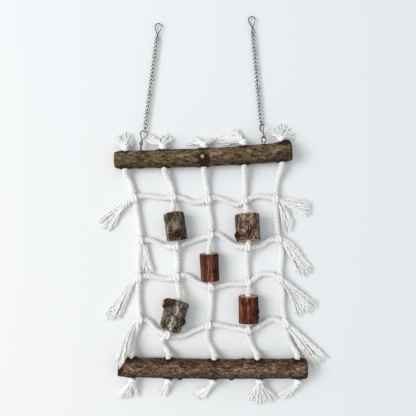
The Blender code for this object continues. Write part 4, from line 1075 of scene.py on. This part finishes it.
for column in range(len(UPRIGHTS)):
    for bar, holes, side, fans, body, word in (
        (TOP_BAR, TOP_HOLES, 1, TOP_FANS, "upper_net", "top"),
        (BOTTOM_BAR, BOTTOM_HOLES, -1, BOTTOM_FANS, "lower_net", "bottom"),
    ):
        middle, out = knot_middle(bar, holes[column], side)
        middle = middle - out * KNOT_SEAT * MM
        ahead, spread = KNOT_FRAY
        skins = tied_knot(middle, out)
        skins += frayed_end(middle + out * ahead * MM, out, fans[column], spread, 10 * column + side + 2)
        fray = piece_of(f"upright_rope_{column + 1}_{word}_fray", skins, COTTON_YARN)
        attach(fray, body)
for row in range(len(CROSS_ROPES)):
    for word, column, outs, reaches, fans in (
        ("left", 0, LEFT_OUT, LEFT_REACH, LEFT_FANS),
        ("right", LAST_UPRIGHT, RIGHT_OUT, RIGHT_REACH, RIGHT_FANS),
    ):
        out = outward(outs[row])
        ahead, spread = CROSS_FRAY
        root = cross_end(row, column, outs, reaches) + out * ahead * MM
        yarns = frayed_end(root, out, fans[row], spread, 100 + 10 * row + column)
        fray = piece_of(f"cross_rope_{row + 1}_{word}_fray", yarns, COTTON_YARN)
        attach(fray, "upper_net" if row < 2 else "lower_net")
        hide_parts(f"cross_rope_{row + 1}_{word}_end")

# Screw eyes: bent from plated steel wire, with a rolled thread on the shank, and turned into the top bar
# until the ring stands just clear of the bark.
RING = 4.0 * MM
RING_WIRE = 0.9 * MM
RING_STEM = 1.5 * MM
RING_ENDS = (-0.5 * math.pi, 1.38 * math.pi)
RING_POINTS = 60
RING_DULL = 0.6
WIRE_AROUND = 14
SHANK = 1.12 * MM
SHANK_DEPTH = 12.0 * MM
SHANK_POINT = 4 * MM
SHANK_PLAIN = 1 * MM
SHANK_LAP = 0.2 * MM
SHANK_RINGS = 130
THREAD_DEPTH = 0.16 * MM
THREAD_PITCH = 1.1 * MM
# Each hanger: its screw eye along the bar, how far the ring and the hook are turned over, in degrees, and
# the points that its lower hook and its chain run to, in mm.
CHAINS = {
    "left": (EYE_XS[0], 90.0, 0.0, (-88.7, 109.0), (-72.9, 232.0)),
    "right": (EYE_XS[1], 35.0, -55.0, (66.4, 117.0), (55.3, 241.0)),
}


def steel_finish():
    """Plated steel wire with fine drawing marks, evenly dulled on hooks and rings, with painted shade in the
    links.
    """
    finish, tree, shader, spot = blank_finish("steel")
    marks = speckle(tree, spot, 900, 4)
    tone = ramp(tree, marks, (0.35, (0.45, 0.44, 0.41)), (0.62, (0.86, 0.85, 0.81)))
    plug(tree, shader, {
        "Base Color": mixed(tree, layer(tree, "groove"), tone, (0.02, 0.019, 0.017)),
        "Metallic": 1.0,
        "Roughness": ranged(tree, marks, 0.14, 0.32),
    })
    return finish


STEEL = steel_finish()


def ring_of(side):
    """Middle of a screw eye's ring and the axis through its hole."""
    x, turn = CHAINS[side][:2]
    middle, radius = bar_at(TOP_BAR, x * MM)
    middle = middle + CHAINWARD * (radius + RING_STEM + RING + RING_WIRE)
    angle = math.radians(turn)
    return middle, np.array([math.sin(angle), 0.0, math.cos(angle)])


for side in CHAINS:
    middle, through = ring_of(side)
    flank = np.cross(CHAINWARD, through)
    angle = np.linspace(*RING_ENDS, RING_POINTS)[:, None]
    bend = middle + RING * (np.cos(angle) * flank + np.sin(angle) * CHAINWARD)
    foot = middle - CHAINWARD * (RING + RING_WIRE + RING_STEM + SHANK_DEPTH)
    head = middle - CHAINWARD * (RING + SHANK_LAP)
    shank = foot + np.outer(np.linspace(0.0, 1.0, SHANK_RINGS), head - foot)
    rise = np.linspace(0.0, np.linalg.norm(head - foot), SHANK_RINGS)
    thread = THREAD_DEPTH * np.sin(rise / THREAD_PITCH * 2 * math.pi)
    thread = np.where(rise < SHANK_DEPTH - SHANK_PLAIN, thread, 0.0)
    taper = np.interp(rise, (0.0, SHANK_POINT, SHANK_DEPTH), (0.3, 1.0, 1.0))
    skins = [
        (*skin(bend, RING_WIRE, WIRE_AROUND, through), RING_DULL),
        (*skin(shank, (SHANK + thread) * taper, WIRE_AROUND, through), 0.0),
    ]
    eye = piece_of(f"screw_eye_{side}_wire", skins, STEEL)
    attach(eye, "upper_net")
    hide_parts(f"screw_eye_{side}")

# Snap hooks: each bent from one length of steel wire into a wide bow and a small closed eye, the wire
# crossing itself at the neck. A sprung wire gate runs from the neck and rests under the hook's nose.
HOOK_LENGTH = 23.0 * MM
HOOK_WIRE = 0.75 * MM
HOOK_EYE = 2.4 * MM
HOOK_BOW = 4.55 * MM
NOSE = math.radians(-15.0)
NECK_END = 1.5 * MM
GATE_GAP = 1.1 * MM
GATE_ROOT = 0.4 * MM
GATE_STEP = 0.35 * MM
GATE_SWELL = ((0.0, 0.5 * MM, 1.5 * MM, 2.4 * MM), (0.7, 1.2, 1.2, 0.8))
FIT = 0.3 * MM
LINK_LENGTH = 7.31 * MM
LINK_WIDTH = 5.3 * MM
LINK_WIRE = 0.65 * MM
LINK_BITE = 0.45 * MM
SHOWN_HOOK_WIRE = 0.68 * MM
BOW_POINTS = 40
HOOK_EYE_POINTS = 36
HOOK_STEP = 0.4 * MM
WIRE_END = 0.5 * MM
STEP_OVER = 1.05
LOWER_EYE = 1.9 * MM
UPPER_EYE = 1.65 * MM
WIRE_DULL = 0.8
FLAT = np.array([1.0, 1.0, 0.0])


def snap_hook(name, eye, along, across, small):
    """A hook and its gate; eye is the middle of the small end and along points to the wide bow."""
    facing = np.cross(across, along)
    eye = eye - along * (HOOK_EYE - small)
    bow_at = HOOK_LENGTH - 2 * HOOK_WIRE - small - HOOK_BOW
    slope = math.asin((HOOK_BOW + small) / bow_at)
    lean = np.array([math.sin(slope), math.cos(slope)])
    neck = np.array([0.0, small / math.sin(slope)])
    over = np.linspace(NOSE, math.pi + slope, BOW_POINTS)
    round_eye = np.linspace(slope, -math.pi - slope, HOOK_EYE_POINTS)
    flat = np.vstack([
        np.column_stack([HOOK_BOW * np.cos(over), bow_at + HOOK_BOW * np.sin(over)]),
        np.column_stack([small * np.cos(round_eye), small * np.sin(round_eye)]),
        [neck + lean * NECK_END],
    ])
    bow_run = HOOK_BOW * (math.pi + slope - NOSE)
    first_pass = bow_run + HOOK_BOW / math.tan(slope)
    eye_run = small * (math.pi + 2 * slope + 2 / math.tan(slope))
    second_pass = first_pass + eye_run
    line, run = spaced(eye + np.outer(flat[:, 0], across) + np.outer(flat[:, 1], along), HOOK_STEP)
    aside = np.interp(run, (bow_run, first_pass, second_pass), (0.0, -STEP_OVER, STEP_OVER)) * SHOWN_HOOK_WIRE
    radii = SHOWN_HOOK_WIRE * (0.8 + 0.2 * np.minimum(1.0, np.minimum(run, run[-1] - run) / WIRE_END))
    wire = skin(line + np.outer(aside, facing), radii, WIRE_AROUND, facing)
    body = piece_of(f"{name}_wire", [(*wire, WIRE_DULL)], STEEL)
    root = neck + lean * (NECK_END - GATE_ROOT)
    nose = np.array([HOOK_BOW * math.cos(NOSE), bow_at + HOOK_BOW * math.sin(NOSE)])
    ends = np.array([root, nose - lean * GATE_GAP])
    ends = eye + np.outer(ends[:, 0], across) + np.outer(ends[:, 1], along)
    ends[0] += facing * STEP_OVER * SHOWN_HOOK_WIRE
    line, run = spaced(ends, GATE_STEP)
    swollen = np.interp(run[-1] - run, *GATE_SWELL)
    wire = skin(line, SHOWN_HOOK_WIRE * swollen, WIRE_AROUND, facing)
    gate = piece_of(f"{name}_gate_wire", [(*wire, WIRE_DULL)], STEEL)
    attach(body, name)
    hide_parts(name)
    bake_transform(gate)
    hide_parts(f"{name}_gate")


hangers = {}
for side, (_, _, hook_turn, hook_far, chain_far) in CHAINS.items():
    middle, through = ring_of(side)
    reach = np.array([hook_far[0] * MM, hook_far[1] * MM, LINK_WIDTH / 2 + FIT])
    along = unit(reach - middle)
    held = middle + RING * unit(along - through * (along @ through))
    along = unit(reach - held)
    eye = held + along * (HOOK_EYE - RING_WIRE - HOOK_WIRE - FIT)
    level = -unit(np.cross(UP, along))
    angle = math.radians(hook_turn)
    across = level * math.cos(angle) - np.cross(level, along) * math.sin(angle)
    snap_hook(f"lower_hook_{side}", eye, along, across, LOWER_EYE)
    bow = eye + along * (HOOK_LENGTH - 2 * HOOK_WIRE - HOOK_EYE)
    line = unit((np.array([*chain_far, 0.0]) * MM - bow) * FLAT)
    lateral = np.array([line[1], -line[0], 0.0])
    hangers[side] = (bow, line, lateral, math.atan2(across[2], across @ lateral) + math.pi / 2)

# Hanging chains: welded links of steel wire, each twisted a quarter turn so that the chain lies flat, and
# hooked one into the next between the two snap hooks.
SHOWN_WIDTH = 6.8 * MM
FLATTENED = 0.8
LINK_AROUND = 12
BEND_POINTS = 15
INNER_SHADE = 0.4
LOW_SHADE = 0.3
BEND_SHADE = 0.95
SIDE_SHADE = 0.08
STRETCHES = 5
LINKS = 5


def twisted_link(foot, head, along, lateral, first, last):
    """One oval link from its foot bend to its head bend, turned from first to last on the way."""
    half = SHOWN_WIDTH / 2 - LINK_WIRE
    length = np.linalg.norm(head - foot)
    bend = np.linspace(0.0, math.pi, BEND_POINTS)
    head = np.column_stack([half * np.cos(bend), length - half + half * np.sin(bend)])
    flat = np.vstack([head, [0, length] - head])
    share = flat[:, 1] / length
    turn = first + (last - first) * share * share * (3 - 2 * share)
    line = foot + np.outer(flat[:, 1], along)
    line = line + np.outer(flat[:, 0] * np.cos(turn), lateral)
    line = line + np.outer(FLATTENED * flat[:, 0] * np.sin(turn), UP)
    facing = np.cos(turn)[:, None] * UP - np.sin(turn)[:, None] * lateral
    points, faces = skin(line, LINK_WIRE, LINK_AROUND, facing, True)
    # Painted shade: darker on the inner side of the wire, underneath it, at the bends where links overlap and
    # on one side.
    bend = np.clip((np.abs(flat[:, 1] - length / 2) - length / 2) / half + 1.0, 0.0, 1.0)
    inward = unit(foot + np.outer(np.clip(flat[:, 1], half, length - half), along) - line)
    off = (points.reshape(len(line), -1, 3) - line[:, None]) / LINK_WIRE
    hollow_shade = INNER_SHADE * np.sum(off * inward[:, None], axis=2) - LOW_SHADE * off[..., 2]
    wear_and_shade = BEND_SHADE * bend ** 2 + np.where(flat[:, 0] < 0, SIDE_SHADE, 0.0)
    return points, faces, np.clip(hollow_shade + wear_and_shade[:, None], 0.0, 1.0).ravel()


for side, (bow, line, lateral, first) in hangers.items():
    foot = bow - line * (HOOK_WIRE + LINK_WIRE + FIT)
    for stretch in range(1, STRETCHES + 1):
        links = []
        for number in range(1, LINKS + 1):
            head = foot + line * (LINK_LENGTH - 2 * LINK_WIRE)
            low, top = foot - line * LINK_BITE / 2, head + line * LINK_BITE / 2
            turns = [-math.pi / 4, math.pi / 4]
            if stretch == 1 and number == 1:
                low, turns[0] = foot, first
            if stretch == STRETCHES and number == LINKS:
                top, turns[1] = head, math.pi / 2
            links.append(twisted_link(low, top, line, lateral, *turns))
            foot = head - line * (2 * LINK_WIRE + (FIT if number == LINKS else -LINK_BITE))
        chain = piece_of(f"chain_{side}_{stretch}_links", links, STEEL)
        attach(chain, f"chain_{side}_{stretch}")
        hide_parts(f"chain_{side}_{stretch}")
    eye = head + line * (HOOK_EYE - HOOK_WIRE - LINK_WIRE - FIT)
    snap_hook(f"upper_hook_{side}", eye, line, lateral, UPPER_EYE)

# Studio: a plain floor of pale paper with painted light on it, lighter and warmer towards the lower left and
# darker and bluer towards the upper right, one large soft lamp to the left and an even pale sky. The camera
# looks straight down on the net as it lies.
HALF_FLOOR = 4
CAMERA_HEIGHT = 0.76
HALF_VIEW = 0.27733
VIEW_LEVEL = 0.008
corners = [(-HALF_FLOOR, -HALF_FLOOR, 0), (HALF_FLOOR, -HALF_FLOOR, 0),
           (HALF_FLOOR, HALF_FLOOR, 0), (-HALF_FLOOR, HALF_FLOOR, 0)]
floor = put("floor", corners, [(0, 1, 2, 3)])
paper, tree, shader, spot = blank_finish("floor_paper")
turned = node(tree, "ShaderNodeMapping", {"Vector": spot, "Rotation": (0.0, 0.0, -0.5)})
apart = node(tree, "ShaderNodeSeparateXYZ", {"Vector": turned.outputs["Vector"]})
slope = node(tree, "ShaderNodeMapRange", {"Value": apart.outputs["X"], "From Min": -0.37, "From Max": 0.37})
# Painted light: the paper is lighter and warmer at the lower left and darker and bluer at the upper right.
lit_paper, shaded_paper = (0.915, 0.92, 0.915), (0.865, 0.89, 0.915)
plug(tree, shader, {
    "Base Color": ramp(tree, slope.outputs["Result"], (0.0, lit_paper), (1.0, shaded_paper)),
    "Roughness": 0.9,
    "Specular IOR Level": 0.1,
})
floor.data.materials.append(paper)

lamp = bpy.data.objects.new("soft_lamp", bpy.data.lights.new("soft_lamp", "AREA"))
lamp.data.energy = 79.0
lamp.data.shape = "DISK"
lamp.data.size = 2.2
lamp.location = (-2.5, 0.45, 2.7)
lamp.rotation_euler = (-lamp.location).to_track_quat("-Z", "Y").to_euler()
bpy.context.scene.collection.objects.link(lamp)

sky = bpy.data.worlds.new("pale_sky")
sky.use_nodes = True
tree = sky.node_tree
spot = node(tree, "ShaderNodeTexCoord").outputs["Generated"]
apart = node(tree, "ShaderNodeSeparateXYZ", {"Vector": spot})
level = {"Value": apart.outputs["Z"], "From Max": 0.6, "To Min": 0.5, "To Max": 0.6}
level = node(tree, "ShaderNodeMapRange", level).outputs["Result"]
plug(tree, tree.nodes["Background"], {"Color": (0.96, 0.98, 1.0), "Strength": level})
bpy.context.scene.world = sky

camera = bpy.data.objects.new("camera", bpy.data.cameras.new("camera"))
camera.data.sensor_fit = "HORIZONTAL"
camera.data.angle = 2 * math.atan(HALF_VIEW / (CAMERA_HEIGHT - VIEW_LEVEL))
camera.location = (-0.0047, 0.0033, CAMERA_HEIGHT)
bpy.context.scene.collection.objects.link(camera)
bpy.context.scene.camera = camera
bpy.context.scene.view_settings.view_transform = "Standard"
